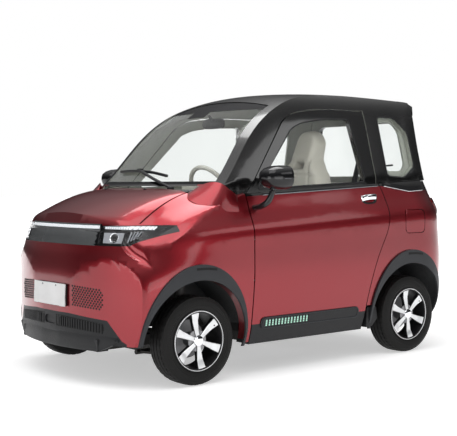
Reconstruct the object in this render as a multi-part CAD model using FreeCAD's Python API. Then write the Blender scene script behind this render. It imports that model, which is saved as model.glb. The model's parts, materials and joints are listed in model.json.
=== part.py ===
import FreeCAD, Part
import functools
import math
import os

# A two-door electric microcar with a steel frame, plastic-clad wheel arches and a black roof.
# Front is -Y, the car's left side is +X, +Z is up and the origin is on the floor, under its middle.

V = FreeCAD.Vector
X_AXIS = V(1, 0, 0)
Y_AXIS = V(0, 1, 0)
Z_AXIS = V(0, 0, 1)

# Driving dimensions
HALF_LENGTH = 1311.0
HALF_WIDTH = 742.0
BODY_HEIGHT = 1000.0
ROOF_HEIGHT = 1664.0
FRONT_AXLE_Y = -801.0
WHEELBASE = 1680.0
WHEEL_PLANE_X = 651.0
TYRE_RADIUS = 244.0
TYRE_WIDTH = 139.0
CUT_REACH = 2000.0

REAR_AXLE_Y = FRONT_AXLE_Y + WHEELBASE
AXLE_Z = TYRE_RADIUS

# Walls and gaps
BODY_WALL = 50.0
CABIN_WALL = 34.0
BONNET_WALL = 22.0
ROOF_WALL = 26.0
PANEL_GAP = 6.0
FIT_GAP = 0.3
RUNNING_CLEARANCE = 0.05
SHEET = 3.0
GLASS_SINK = 3.0
GLASS_WALL = 5.0

# Lower body: plan sections as height, tilt, half width, nose, tail and the four corner powers
BODY_SECTION_SHARES = [
    (0.170, 0.0, 0.906, 0.971, 0.941, 3.2, 12, 8, 12),
    (0.250, 0.0, 0.941, 0.992, 0.976, 3.2, 12, 8, 12),
    (0.350, 0.0, 0.965, 1.000, 0.997, 3.2, 12, 8, 12),
    (0.480, 0.0, 0.987, 0.991, 1.000, 3.2, 12, 8, 12),
    (0.620, 0.01, 1.000, 0.985, 0.995, 3.1, 10, 8, 12),
    (0.760, 0.03, 1.000, 0.971, 0.983, 2.8, 7.5, 8, 12),
    (0.860, 0.04, 0.993, 0.962, 0.970, 2.7, 6.5, 8, 12),
    (0.900, 0.045, 0.973, 0.953, 0.959, 2.7, 6.5, 8, 12),
    (0.950, 0.045, 0.943, 0.935, 0.948, 2.8, 6.5, 8, 12),
    (1.000, 0.045, 0.918, 0.916, 0.937, 3.0, 7.0, 8, 12),
    (1.060, 0.045, 0.883, 0.886, 0.927, 3.0, 7.0, 8, 12),
    (1.110, 0.045, 0.852, 0.855, 0.916, 3.0, 7.0, 8, 12),
    (1.210, 0.045, 0.780, 0.800, 0.900, 3.0, 7.0, 8, 12),
]

# Cabin: plan sections as height, half width, front and rear reach of the middle, corner powers
CABIN_HALF_WIDTH = 678.0
CABIN_MIDDLE_Y = 439.0
CABIN_FRONT = 991.0
CABIN_REAR = 1229.0
CABIN_SECTION_SHARES = [
    (0.601, 1.000, 1.000, 1.000, 5, 9, 8, 16),
    (0.649, 0.959, 0.879, 0.985, 5, 9, 8, 16),
    (0.721, 0.917, 0.738, 0.976, 5, 9, 8, 16),
    (0.811, 0.867, 0.576, 0.972, 5, 9, 8, 16),
    (0.883, 0.826, 0.435, 0.974, 5, 9, 8, 16),
    (0.931, 0.791, 0.314, 0.979, 5, 9, 8, 16),
    (0.962, 0.752, 0.213, 0.981, 5, 9, 8, 16),
    (0.986, 0.693, 0.092, 0.967, 5, 9, 8, 16),
    (1.010, 0.630, 0.050, 0.950, 5, 9, 8, 16),
]

# Directions, in degrees from the side to the end, that carry a section's points
SECTION_ANGLES = (0, 15, 27, 36, 43, 50, 58, 70, 90)

# Bonnet: its middle profile behind the front edge, and how far it falls towards the sides
BONNET_EDGE_Y = -1251.0
BONNET_EDGE_Z = 880.0
BONNET_RUN = 740.0
BONNET_RISE = 270.0
BONNET_SIDE_REACH = 800.0
BONNET_FALL = 160.0
BONNET_EDGE_SWEEP = 237.0
BONNET_PROFILE_SHARES = [
    (-0.080, -0.30), (-0.027, -0.13), (0.0, 0.0), (0.016, 0.119), (0.040, 0.178), (0.080, 0.233),
    (0.150, 0.319), (0.253, 0.437), (0.366, 0.544), (0.477, 0.622), (0.591, 0.674), (0.715, 0.70),
    (0.865, 0.715), (1.000, 0.726), (1.200, 0.74),
]
BONNET_FALL_SHARES = [
    (0.0, 0.0), (0.31, 0.01), (0.46, 0.03), (0.55, 0.055), (0.60, 0.09), (0.64, 0.165), (0.70, 0.345),
    (0.76, 0.465), (0.825, 0.57), (0.925, 0.72), (1.025, 0.85),
]
BONNET_FRONT_STEEPNESS = 1.85
BONNET_STEEPNESS_LOSS = 1.55

# Windscreen and roof: one middle profile from the cowl to the rear lip, bowed across
ROOF_PROFILE_SHARES = [
    (-0.588, 0.607), (-0.531, 0.649), (-0.434, 0.721), (-0.331, 0.811), (-0.235, 0.883),
    (-0.143, 0.9315), (-0.056, 0.963), (0.022, 0.981), (0.129, 0.993), (0.297, 1.0),
    (0.526, 0.998), (0.754, 0.9915), (0.937, 0.982), (1.040, 0.976),
]
SCREEN_BOW = 79.5
ROOF_CROWN = 49.2
ROOF_SIDE_REACH = 640.0
ROOF_COLUMN_SHARES = (-1.0, -0.75, -0.5, -0.25, 0.0, 0.25, 0.5, 0.75, 1.0)

# Wheel arches and their flares
ARCH_RADIUS = 330.0
ARCH_DEPTH = 300.0
FLARE_PROUD = 12.0
FLARE_HALF_WIDTH = 345.0
FLARE_TOP = 415.0
FLARE_FOOT_Z = 178.0
LINER_WALL = 4.0

# Doors, seen from the side as y and z
DOOR_FRONT_Y = -421.0
DOOR_BOTTOM_Z = 180.0
SILL_LINE_Z = 295.0
BELT_FRONT_Z = 1032.0
BELT_REAR_Z = 1080.0
DOOR_REAR_EDGE = ((659.0, 1080.0), (683.0, 912.0), (660.0, 791.0), (596.0, 673.0), (499.0, 369.0), (484.0, 180.0))
DOOR_FRAME_TOP = ((-60.0, 1447.0), (20.0, 1497.0), (130.0, 1522.0), (280.0, 1536.0), (640.0, 1540.0))
FRAME_ROOT = 24.0
WINDOW_OUTLINE = ((-317.0, 1062.0), (8.0, 1413.0), (90.0, 1447.0), (259.0, 1473.0), (500.0, 1482.0), (556.0, 1095.0))
DOOR_GAP = 7.0
DOOR_HINGE_SETBACK = 60.0
DOOR_HINGE_INSET = 14.0
DOOR_HINGE_HEIGHTS = (560.0, 790.0)
DOOR_HINGE_HALF = 15.0
DOOR_HINGE_ROOM = 3.0
DOOR_HINGE_EYE = 9.0
DOOR_HINGE_REACH = 78.0

# Quarter lights behind the doors
QUARTER_OUTLINE = ((762.0, 1504.0), (919.0, 1501.0), (1019.0, 1411.0), (1030.0, 1191.0), (930.0, 1122.0), (772.0, 1131.0))

# Windscreen opening seen from the front as x and z
SCREEN_BOTTOM_HALF = 572.0
SCREEN_TOP_HALF = 470.0
SCREEN_BOTTOM_Z = 1088.0
SCREEN_TOP_Z = 1556.0
SCREEN_TOP_BOW = 44.0
SCREEN_REAR_Y = 60.0

# Tailgate seen from behind as x and z
TAILGATE_HALF = 560.0
TAILGATE_TOP_HALF = 440.0
TAILGATE_BOTTOM_Z = 560.0
TAILGATE_TOP_Z = 1560.0
TAILGATE_FRONT_Y = 1000.0
TAILGATE_GAP = 8.0
TAILGATE_HINGE_X = 260.0
TAILGATE_HINGE_Y = 1200.0
TAILGATE_HINGE_Z = 1560.0
BACKLIGHT_HALF = 460.0
BACKLIGHT_TOP_HALF = 390.0
BACKLIGHT_BOTTOM_Z = 1130.0
BACKLIGHT_TOP_Z = 1490.0


def superellipse_radius(angle, power_side, power_end):
    """Return the radius of a unit superellipse in one direction."""
    along = abs(math.cos(angle))
    across = abs(math.sin(angle))
    low = 0.5
    high = 2.0
    for _ in range(50):
        middle = (low + high) / 2
        if (middle * along) ** power_side + (middle * across) ** power_end > 1:
            high = middle
        else:
            low = middle
    return (low + high) / 2


def plan_outline(half_width, nose, tail, middle_y, powers):
    """Return the closed plan outline of a section, from the tail round by the left side."""
    angles = [math.radians(value) for value in SECTION_ANGLES]
    half = []
    for angle in reversed(angles):
        radius = superellipse_radius(angle, powers[2], powers[3])
        half.append((half_width * radius * math.cos(angle), middle_y + tail * radius * math.sin(angle)))
    for angle in angles[1:]:
        radius = superellipse_radius(angle, powers[0], powers[1])
        half.append((half_width * radius * math.cos(angle), middle_y - nose * radius * math.sin(angle)))
    return half + [(-x, y) for x, y in reversed(half[1:-1])]


def spacing(outline):
    """Return the running distance round a closed outline, which spaces its curve evenly."""
    steps = [0.0]
    for (x, y), (next_x, next_y) in zip(outline, outline[1:] + outline[:1]):
        steps.append(steps[-1] + math.hypot(next_x - x, next_y - y))
    return [step / steps[-1] for step in steps]


def section_wire(outline, height, tilt, parameters):
    """Return a smooth closed wire through a plan outline on a slightly tilted plane."""
    points = [V(x, y, height + tilt * y) for x, y in outline]
    curve = Part.BSplineCurve()
    curve.interpolate(Points=points, PeriodicFlag=True, Parameters=parameters)
    return Part.Wire([curve.toShape()])


BODY_SPACING = spacing(plan_outline(HALF_WIDTH, HALF_LENGTH, HALF_LENGTH, 0, BODY_SECTION_SHARES[4][5:]))
CABIN_SPACING = spacing(plan_outline(CABIN_HALF_WIDTH, CABIN_FRONT, CABIN_REAR, 0, CABIN_SECTION_SHARES[0][4:]))


@functools.lru_cache
def body_mass(inset):
    """Return the solid inside the lower body's skin, moved inwards by inset."""
    wires = []
    for height, tilt, width, nose, tail, *powers in BODY_SECTION_SHARES:
        outline = plan_outline(HALF_WIDTH * width - inset, HALF_LENGTH * nose - inset,
                               HALF_LENGTH * tail - inset, 0, powers)
        wires.append(section_wire(outline, BODY_HEIGHT * height, tilt, BODY_SPACING))
    return Part.makeLoft(wires, True, False, False, 5)


@functools.lru_cache
def cabin_mass(inset):
    """Return the solid inside the cabin's side and rear skin, moved inwards by inset."""
    wires = []
    for height, width, nose, tail, *powers in CABIN_SECTION_SHARES:
        outline = plan_outline(CABIN_HALF_WIDTH * width - inset, CABIN_FRONT * nose + CABIN_MIDDLE_Y - inset,
                               CABIN_REAR * tail - CABIN_MIDDLE_Y - inset, CABIN_MIDDLE_Y, powers)
        wires.append(section_wire(outline, ROOF_HEIGHT * height, 0, CABIN_SPACING))
    return Part.makeLoft(wires, True, False, False, 5)


def field_solid(grid, depth):
    """Return the solid below a smooth surface through a grid of points."""
    surface = Part.BSplineSurface()
    surface.interpolate(grid)
    return surface.toShape().extrude(V(0, 0, -depth))


@functools.lru_cache
def bonnet_field(drop):
    """Return the solid below the bonnet and shoulder surface, lowered by drop."""
    columns = [(-share, fall) for share, fall in reversed(BONNET_FALL_SHARES[1:])] + BONNET_FALL_SHARES
    grid = []
    for run, rise in BONNET_PROFILE_SHARES:
        row = []
        steeper = BONNET_FRONT_STEEPNESS - BONNET_STEEPNESS_LOSS * run
        for side, fall in columns:
            x = BONNET_SIDE_REACH * side
            y = BONNET_EDGE_Y + BONNET_EDGE_SWEEP * side * side + BONNET_RUN * run
            z = BONNET_EDGE_Z + BONNET_RISE * rise - BONNET_FALL * fall * steeper
            row.append(V(x, y, z - drop))
        grid.append(row)
    return field_solid(grid, BODY_HEIGHT)


@functools.lru_cache
def roof_field(drop):
    """Return the solid below the windscreen and roof surface, lowered by drop."""
    grid = []
    for along, height in ROOF_PROFILE_SHARES:
        row = []
        for side in ROOF_COLUMN_SHARES:
            x = ROOF_SIDE_REACH * side
            y = HALF_LENGTH * along + SCREEN_BOW * side * side
            z = ROOF_HEIGHT * height - ROOF_CROWN * side * side
            row.append(V(x, y, z - drop))
        grid.append(row)
    return field_solid(grid, ROOF_HEIGHT)


def rounded_wire(points, radius):
    """Return a closed wire through corner points, each corner rounded by a radius."""
    edges = []
    count = len(points)
    trimmed = []
    for index in range(count):
        before = points[index - 1]
        corner = points[index]
        after = points[(index + 1) % count]
        to_before = (before - corner).normalize()
        to_after = (after - corner).normalize()
        angle = to_before.getAngle(to_after)
        reach = radius / math.tan(angle / 2)
        start = corner + to_before * reach
        end = corner + to_after * reach
        bisector = (to_before + to_after).normalize()
        middle = corner + bisector * (radius / math.sin(angle / 2) - radius)
        trimmed.append((start, middle, end))
    for index in range(count):
        start, middle, end = trimmed[index]
        edges.append(Part.Arc(start, middle, end).toShape())
        following = trimmed[(index + 1) % count][0]
        edges.append(Part.makeLine(end, following))
    return Part.Wire(edges)


def prism_x(outline, x_from, x_to, radius=0):
    """Return a prism along X with a y-z outline."""
    points = [V(x_from, y, z) for y, z in outline]
    wire = rounded_wire(points, radius) if radius else Part.makePolygon(points + points[:1])
    return Part.Face(wire).extrude(V(x_to - x_from, 0, 0))


def prism_y(outline, y_from, y_to, radius=0):
    """Return a prism along Y with an x-z outline."""
    points = [V(x, y_from, z) for x, z in outline]
    wire = rounded_wire(points, radius) if radius else Part.makePolygon(points + points[:1])
    return Part.Face(wire).extrude(V(0, y_to - y_from, 0))


def prism_z(outline, z_from, z_to, radius=0):
    """Return a prism along Z with an x-y outline."""
    points = [V(x, y, z_from) for x, y in outline]
    wire = rounded_wire(points, radius) if radius else Part.makePolygon(points + points[:1])
    return Part.Face(wire).extrude(V(0, 0, z_to - z_from))


def box(x_from, x_to, y_from, y_to, z_from, z_to):
    """Return a box between two corners."""
    return Part.makeBox(x_to - x_from, y_to - y_from, z_to - z_from, V(x_from, y_from, z_from))


def rod(radius, start, end):
    """Return a round bar between two points."""
    axis = end - start
    return Part.makeCylinder(radius, axis.Length, start, axis)


def tube(radius, bore, start, end):
    """Return a round tube between two points."""
    return rod(radius, start, end).cut(rod(bore, start, end))


def mirrored(shape):
    """Return the same piece for the car's other side."""
    return shape.mirror(V(0, 0, 0), X_AXIS)


def fused(shapes):
    """Return one solid made of touching shapes, facing outwards."""
    joined = largest(shapes[0].fuse(shapes[1:]))
    return joined if joined.Volume > 0 else joined.reversed()


def largest(shape):
    """Return the largest solid of a cut, without the crumbs that a cut can leave."""
    return max(shape.Solids, key=lambda solid: abs(solid.Volume))


def body_layer(prism, outer, inner):
    """Return the part of the lower body between two insets that lies in a prism."""
    return largest(body_mass(outer).common(prism).cut(body_mass(inner)))


def cabin_layer(prism, outer, inner):
    """Return the part of the cabin's side and rear between two insets that lies in a prism."""
    return largest(cabin_mass(outer).common(prism).cut(cabin_mass(inner)))


def write(name, shape):
    """Write one sub-part."""
    shape.exportStep("parts/" + name + ".step")


def write_pair(name, shape):
    """Write a left piece and its mirror image as two sub-parts."""
    write(name + "_left", shape)
    write(name + "_right", mirrored(shape))


def arch_cut(axle_y, radius, x_from=HALF_WIDTH - ARCH_DEPTH):
    """Return the round cut of the two wheel arches on one axle."""
    left = Part.makeCylinder(radius, CUT_REACH, V(x_from, axle_y, AXLE_Z), X_AXIS)
    return left.fuse(mirrored(left))


# Masses that the panels are cut from
BODY = body_mass(0)
BODY_INSIDE = body_mass(BODY_WALL)
CABIN = cabin_mass(0)
CABIN_INSIDE = cabin_mass(CABIN_WALL)
SHOULDER = bonnet_field(0)
SHOULDER_INSIDE = bonnet_field(BONNET_WALL)
ROOF = roof_field(0)
ROOF_INSIDE = roof_field(ROOF_WALL)

# Front panels
FRONT_BOTTOM_Z = 196.0
NOSE_BOTTOM_Z = 236.0
BUMPER_OUTLINE = (
    (-720.0, 0.0), (-612.0, 236.0), (-562.0, 263.0), (-471.0, 367.0), (-180.0, 389.0),
    (180.0, 389.0), (471.0, 367.0), (562.0, 263.0), (612.0, 236.0), (720.0, 0.0),
)
BUMPER_LIP_HALF = 420.0
BUMPER_LIP_FRONT_Y = -1258.0
BUMPER_LIP_REAR_Y = -1190.0
BUMPER_LIP_TOP_Z = 262.0
GRILLE_SLOTS = 15
GRILLE_FIRST_X = 68.0
GRILLE_PITCH = 25.0
GRILLE_SLOT = 13.0
GRILLE_BOTTOM_Z = 316.0
GRILLE_TOP_Z = 362.0
GRILLE_SINK = 9.0
GRILLE_PLATE_HALF = 58.0
GRILLE_PLATE_RADIUS = 20.0
LAMP_BAND_BOTTOM_Z = 764.0
LAMP_BAND_TOP_Z = 880.0
LAMP_BAND_HALF = 378.0
LAMP_DEPTH = 120.0
LAMP_RIM = 7.0
LAMP_SINK = 14.0
LAMP_BAR_SINK = 6.0
LAMP_BAR_BOTTOM_Z = 850.0
LAMP_TIP_Y = -898.0
LAMP_TIP_Z = 872.0
BONNET_REAR_Y = -722.0
BONNET_REAR_BOW = 24.0
BONNET_REAR_HALF = 500.0
BONNET_FRONT_HALF = 560.0
BONNET_CORNER_RADIUS = 40.0
PLATE_HOLE_SPACING = 240.0
PLATE_HOLE_RADIUS = 3.5
PLATE_HOLE_Z = 484.0
COWL_REAR_Y = -590.0
BULKHEAD_Y = -441.0
BULKHEAD_TOP_Z = 965.0


BUMPER_REAR_Y = FRONT_AXLE_Y - ARCH_RADIUS - BODY_WALL


def side_band(front_y, rear_y, bottom_z, top_z):
    """Return a box across the whole car between two stations and heights."""
    return box(-CUT_REACH, CUT_REACH, front_y, rear_y, bottom_z, top_z)


def lamp_outline(grow):
    """Return the front view outline of the left headlamp with a margin."""
    inner = LAMP_BAND_HALF + PANEL_GAP
    return (
        (inner - grow, LAMP_BAND_BOTTOM_Z - grow),
        (BONNET_FRONT_HALF + grow, LAMP_BAND_BOTTOM_Z - grow),
        (HALF_WIDTH + grow, LAMP_TIP_Z - grow),
        (HALF_WIDTH + grow, LAMP_TIP_Z + grow),
        (inner - grow, LAMP_TIP_Z + grow),
    )


def bonnet_plan(grow):
    """Return the prism of the bonnet's plan outline with a margin."""
    front = BONNET_EDGE_Y - CUT_REACH
    rear = BONNET_REAR_Y + grow
    middle = V(0, rear - BONNET_REAR_BOW, 0)
    left = V(BONNET_REAR_HALF + grow, rear, 0)
    right = V(-BONNET_REAR_HALF - grow, rear, 0)
    wire = Part.Wire([
        Part.Arc(left, middle, right).toShape(),
        Part.makeLine(right, V(-BONNET_FRONT_HALF - grow, BONNET_EDGE_Y, 0)),
        Part.makeLine(V(-BONNET_FRONT_HALF - grow, BONNET_EDGE_Y, 0), V(-BONNET_FRONT_HALF - grow, front, 0)),
        Part.makeLine(V(-BONNET_FRONT_HALF - grow, front, 0), V(BONNET_FRONT_HALF + grow, front, 0)),
        Part.makeLine(V(BONNET_FRONT_HALF + grow, front, 0), V(BONNET_FRONT_HALF + grow, BONNET_EDGE_Y, 0)),
        Part.makeLine(V(BONNET_FRONT_HALF + grow, BONNET_EDGE_Y, 0), left),
    ])
    prism = Part.Face(wire).extrude(V(0, 0, CUT_REACH))
    prism.translate(V(0, 0, LAMP_BAND_TOP_Z + grow - PANEL_GAP))
    return prism


NOSE = BODY.common(SHOULDER)
NOSE_SHELL = NOSE.cut(BODY_INSIDE.common(SHOULDER_INSIDE))
FRONT_CUT = side_band(-CUT_REACH, DOOR_FRONT_Y - DOOR_GAP, 0, CUT_REACH)


def make_bonnet():
    """Return the bonnet: a thin crowned lid whose front lip turns down over the lamp band."""
    lid = largest(NOSE_SHELL.common(bonnet_plan(0)).cut(side_band(-CUT_REACH, CUT_REACH, 0, LAMP_BAND_TOP_Z)))
    parts = [lid]
    for x in (-BONNET_HINGE_X, BONNET_HINGE_X):
        inner = x + HINGE_LUG + FIT_GAP
        outer = inner + HINGE_LUG
        lug = box(inner, outer, BONNET_HINGE_Y - HINGE_EYE_RADIUS, BONNET_HINGE_Y + HINGE_EYE_RADIUS,
                  BONNET_HINGE_Z, BONNET_HINGE_Z + BONNET_WALL)
        eye = rod(HINGE_EYE_RADIUS, V(inner, BONNET_HINGE_Y, BONNET_HINGE_Z), V(outer, BONNET_HINGE_Y, BONNET_HINGE_Z))
        pin = rod(HINGE_PIN_RADIUS, V(x, BONNET_HINGE_Y, BONNET_HINGE_Z), V(outer, BONNET_HINGE_Y, BONNET_HINGE_Z))
        parts += [lug.common(NOSE), eye, pin]
    return fused(parts)


def make_front_body():
    """Return the front fascia with both wings, open at the wheels, lamps and bonnet."""
    shell = NOSE_SHELL.common(FRONT_CUT)
    shell = shell.cut(bonnet_plan(PANEL_GAP))
    shell = shell.cut(arch_cut(FRONT_AXLE_Y, ARCH_RADIUS))
    lamp = prism_y(lamp_outline(0), -CUT_REACH, LAMP_TIP_Y)
    shell = shell.cut(lamp).cut(mirrored(lamp))
    band = box(-LAMP_BAND_HALF - PANEL_GAP, LAMP_BAND_HALF + PANEL_GAP, -CUT_REACH, LAMP_TIP_Y,
               LAMP_BAND_BOTTOM_Z, LAMP_BAND_TOP_Z + PANEL_GAP)
    shell = shell.cut(band)
    bumper = prism_y(BUMPER_OUTLINE, -CUT_REACH, BUMPER_REAR_Y)
    shell = shell.cut(bumper).cut(side_band(-CUT_REACH, FRONT_AXLE_Y, 0, NOSE_BOTTOM_Z))
    shell = shell.cut(side_band(-CUT_REACH, CUT_REACH, 0, FRONT_BOTTOM_Z))
    shell = shell.cut(cowl_prism(FIT_GAP)).cut(CABIN_FOOT)
    for x in (-PLATE_HOLE_SPACING / 2, PLATE_HOLE_SPACING / 2):
        shell = shell.cut(rod(PLATE_HOLE_RADIUS, V(x, -CUT_REACH, PLATE_HOLE_Z), V(x, RAIL_FRONT_Y, PLATE_HOLE_Z)))
    brackets = [door_hinge_bracket(height) for height in DOOR_HINGE_HEIGHTS]
    return fused([largest(shell)] + brackets + [mirrored(bracket) for bracket in brackets])


def make_front_bumper():
    """Return the black lower bumper below the fascia."""
    outline = [(x - math.copysign(FIT_GAP, x), z - FIT_GAP) for x, z in BUMPER_OUTLINE]
    band = prism_y(outline, -CUT_REACH, BUMPER_REAR_Y - FIT_GAP)
    shell = largest(NOSE_SHELL.common(band).cut(side_band(-CUT_REACH, CUT_REACH, 0, NOSE_BOTTOM_Z)))
    slots = []
    for index in range(GRILLE_SLOTS):
        start = GRILLE_FIRST_X + index * GRILLE_PITCH
        for low in (start, -start - GRILLE_SLOT):
            slots.append(box(low, low + GRILLE_SLOT, -CUT_REACH, BUMPER_REAR_Y, GRILLE_BOTTOM_Z, GRILLE_TOP_Z))
    plate = (
        (-GRILLE_PLATE_HALF, GRILLE_BOTTOM_Z),
        (GRILLE_PLATE_HALF, GRILLE_BOTTOM_Z),
        (GRILLE_PLATE_HALF, GRILLE_TOP_Z),
        (-GRILLE_PLATE_HALF, GRILLE_TOP_Z),
    )
    slots.append(prism_y(plate, -CUT_REACH, BUMPER_REAR_Y, GRILLE_PLATE_RADIUS))
    shell = shell.cut(Part.Compound(slots).cut(body_mass(GRILLE_SINK)))
    lip = box(-BUMPER_LIP_HALF, BUMPER_LIP_HALF, BUMPER_LIP_FRONT_Y, BUMPER_LIP_REAR_Y, FRONT_BOTTOM_Z, BUMPER_LIP_TOP_Z)
    return fused([largest(shell), lip])


def make_front_lamps():
    """Return the light bar's panel with a headlamp on each side of it."""
    inside = body_mass(LAMP_DEPTH)
    lamp = largest(NOSE.common(prism_y(lamp_outline(-FIT_GAP), -CUT_REACH, LAMP_TIP_Y)).cut(inside))
    sunk = prism_y(lamp_outline(-LAMP_RIM), -CUT_REACH, LAMP_TIP_Y - LAMP_RIM).cut(body_mass(LAMP_SINK))
    lamp = largest(lamp.cut(sunk))
    panel = NOSE.common(box(-LAMP_BAND_HALF, LAMP_BAND_HALF, -CUT_REACH, LAMP_TIP_Y,
                            LAMP_BAND_BOTTOM_Z + FIT_GAP, LAMP_BAND_TOP_Z - FIT_GAP)).cut(inside)
    bar = box(LAMP_RIM - LAMP_BAND_HALF, LAMP_BAND_HALF - LAMP_RIM, -CUT_REACH, LAMP_TIP_Y,
              LAMP_BAR_BOTTOM_Z, LAMP_BAND_TOP_Z - LAMP_RIM)
    panel = panel.cut(bar.cut(body_mass(LAMP_BAR_SINK)))
    return Part.Compound([lamp, mirrored(lamp), largest(panel)])


# Rear panels and the doors
REAR_BUMPER_TOP_Z = 330.0
FLAP_OUTLINE = ((833.0, 767.0), (1008.0, 767.0), (1008.0, 910.0), (833.0, 910.0))
FLAP_RADIUS = 30.0
FLAP_WALL = 5.0
FLAP_GAP_SHARE = 0.7
FLAP_PIN_RADIUS = 2.0
FLAP_PIN_INSET = 6.0
FLAP_PIN_SETBACK = 8.0
TAIL_LAMP_OUTLINE = ((1130.0, 992.0), (1195.0, 975.0), (1400.0, 905.0), (1400.0, 850.0), (1262.0, 848.0), (1140.0, 960.0))
TAIL_LAMP_DEPTH = 60.0
DOOR_INNER_X = 400.0

BODY_RING = BODY.cut(BODY_INSIDE)
CABIN_SHELL = CABIN.common(ROOF).cut(CABIN_INSIDE.common(ROOF_INSIDE))


def door_outline(grow):
    """Return the side outline of the left door's lower panel with a margin, as a wire at x zero."""
    front = DOOR_FRONT_Y - grow
    rear = [V(0, y + grow, z) for y, z in DOOR_REAR_EDGE]
    curve = Part.BSplineCurve()
    curve.interpolate(rear)
    top_front = V(0, front, BELT_FRONT_Z + grow)
    top_rear = V(0, rear[0].y, rear[0].z + grow)
    bottom_front = V(0, front, DOOR_BOTTOM_Z - grow)
    bottom_rear = V(0, rear[-1].y, rear[-1].z - grow)
    edges = [
        Part.makeLine(bottom_front, top_front),
        Part.makeLine(top_front, top_rear),
        curve.toShape(),
        Part.makeLine(bottom_rear, bottom_front),
    ]
    if grow:
        edges.insert(2, Part.makeLine(top_rear, rear[0]))
        edges.insert(4, Part.makeLine(rear[-1], bottom_rear))
    return Part.Wire(edges)


def door_prism(grow):
    """Return the prism of the left door's lower panel with a margin."""
    prism = Part.Face(door_outline(grow)).extrude(V(CUT_REACH, 0, 0))
    prism.translate(V(DOOR_INNER_X, 0, 0))
    return prism


def frame_prism(grow):
    """Return the prism of the left door's window frame with a margin."""
    top = [V(DOOR_INNER_X, y, z + grow) for y, z in DOOR_FRAME_TOP]
    front = V(DOOR_INNER_X, DOOR_FRONT_Y - grow, BELT_FRONT_Z - FRAME_ROOT)
    rear = V(DOOR_INNER_X, DOOR_REAR_EDGE[0][0] + grow, BELT_REAR_Z - FRAME_ROOT)
    curve = Part.BSplineCurve()
    curve.interpolate([V(point.x, point.y - grow if index == 0 else point.y + grow if index == len(top) - 1
                         else point.y, point.z) for index, point in enumerate(top)])
    wire = Part.Wire([
        Part.makeLine(rear, front),
        Part.makeLine(front, curve.StartPoint),
        curve.toShape(),
        Part.makeLine(curve.EndPoint, rear),
    ])
    return Part.Face(wire).extrude(V(CUT_REACH, 0, 0))


def belt_cut():
    """Return everything above the belt line, across the whole car."""
    slope = (BELT_REAR_Z - BELT_FRONT_Z) / (DOOR_REAR_EDGE[0][0] - DOOR_FRONT_Y)
    outline = (
        (-CUT_REACH, BELT_FRONT_Z + slope * (-CUT_REACH - DOOR_FRONT_Y)),
        (CUT_REACH, BELT_FRONT_Z + slope * (CUT_REACH - DOOR_FRONT_Y)),
        (CUT_REACH, CUT_REACH + CUT_REACH),
        (-CUT_REACH, CUT_REACH + CUT_REACH),
    )
    return prism_x(outline, -CUT_REACH, CUT_REACH)


ABOVE_BELT = belt_cut()
DOOR_HINGE_X = HALF_WIDTH - DOOR_HINGE_INSET
DOOR_HINGE_Y = DOOR_FRONT_Y + DOOR_HINGE_SETBACK


def door_hinge_bracket(height):
    """Return the left wing's goose-neck hinge bracket at one height."""
    low = height - DOOR_HINGE_HALF
    high = height + DOOR_HINGE_HALF
    neck = DOOR_HINGE_X - DOOR_HINGE_REACH
    plate = DOOR_HINGE_EYE * 2
    eye = rod(DOOR_HINGE_EYE, V(DOOR_HINGE_X, DOOR_HINGE_Y, low), V(DOOR_HINGE_X, DOOR_HINGE_Y, high))
    arm = box(neck, DOOR_HINGE_X, DOOR_HINGE_Y - DOOR_HINGE_EYE / 2, DOOR_HINGE_Y + DOOR_HINGE_EYE, low, high)
    leg = box(neck - plate, neck, DOOR_FRONT_Y - DOOR_GAP - plate, DOOR_HINGE_Y + DOOR_HINGE_EYE, low, high)
    foot = box(neck - plate, DOOR_HINGE_X - BODY_WALL / 2, DOOR_FRONT_Y - DOOR_GAP - plate, DOOR_FRONT_Y - DOOR_GAP, low, high)
    bore = rod(HINGE_PIN_RADIUS + RUNNING_CLEARANCE, V(DOOR_HINGE_X, DOOR_HINGE_Y, 0), V(DOOR_HINGE_X, DOOR_HINGE_Y, CUT_REACH))
    return fused([arm, eye, leg, foot]).cut(bore)


def door_hinge_room(height):
    """Return the notch in the left door round a hinge bracket."""
    low = height - DOOR_HINGE_HALF - DOOR_HINGE_ROOM
    high = height + DOOR_HINGE_HALF + DOOR_HINGE_ROOM
    reach = DOOR_HINGE_EYE + DOOR_HINGE_ROOM
    return box(DOOR_INNER_X, DOOR_HINGE_X + DOOR_HINGE_EYE + DOOR_HINGE_ROOM / 2, DOOR_FRONT_Y - DOOR_GAP,
               DOOR_HINGE_Y + reach + DOOR_HINGE_ROOM, low, high)


WINDOW_RADIUS = 28.0


def window_prism():
    """Return the prism of the left door's window opening."""
    return prism_x(WINDOW_OUTLINE, DOOR_INNER_X, CUT_REACH, WINDOW_RADIUS)


def make_door_panel():
    """Return the left door: its red skin down to the sill line with its window frame."""
    lower = BODY_RING.common(door_prism(0)).cut(ABOVE_BELT)
    lower = lower.cut(side_band(-CUT_REACH, CUT_REACH, 0, SILL_LINE_Z + FIT_GAP))
    frame = CABIN_SHELL.common(frame_prism(0)).cut(window_prism())
    panel = fused([largest(lower), largest(frame)])
    pins = []
    for height in DOOR_HINGE_HEIGHTS:
        panel = panel.cut(door_hinge_room(height))
        low = height - DOOR_HINGE_HALF - 2 * DOOR_HINGE_ROOM
        high = height + DOOR_HINGE_HALF + 2 * DOOR_HINGE_ROOM
        pins.append(rod(HINGE_PIN_RADIUS, V(DOOR_HINGE_X, DOOR_HINGE_Y, low), V(DOOR_HINGE_X, DOOR_HINGE_Y, high)))
    return fused([largest(panel)] + pins)


def make_door_glass():
    """Return the left door's window glass."""
    return cabin_layer(window_prism(), GLASS_SINK, GLASS_SINK + GLASS_WALL)


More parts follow.
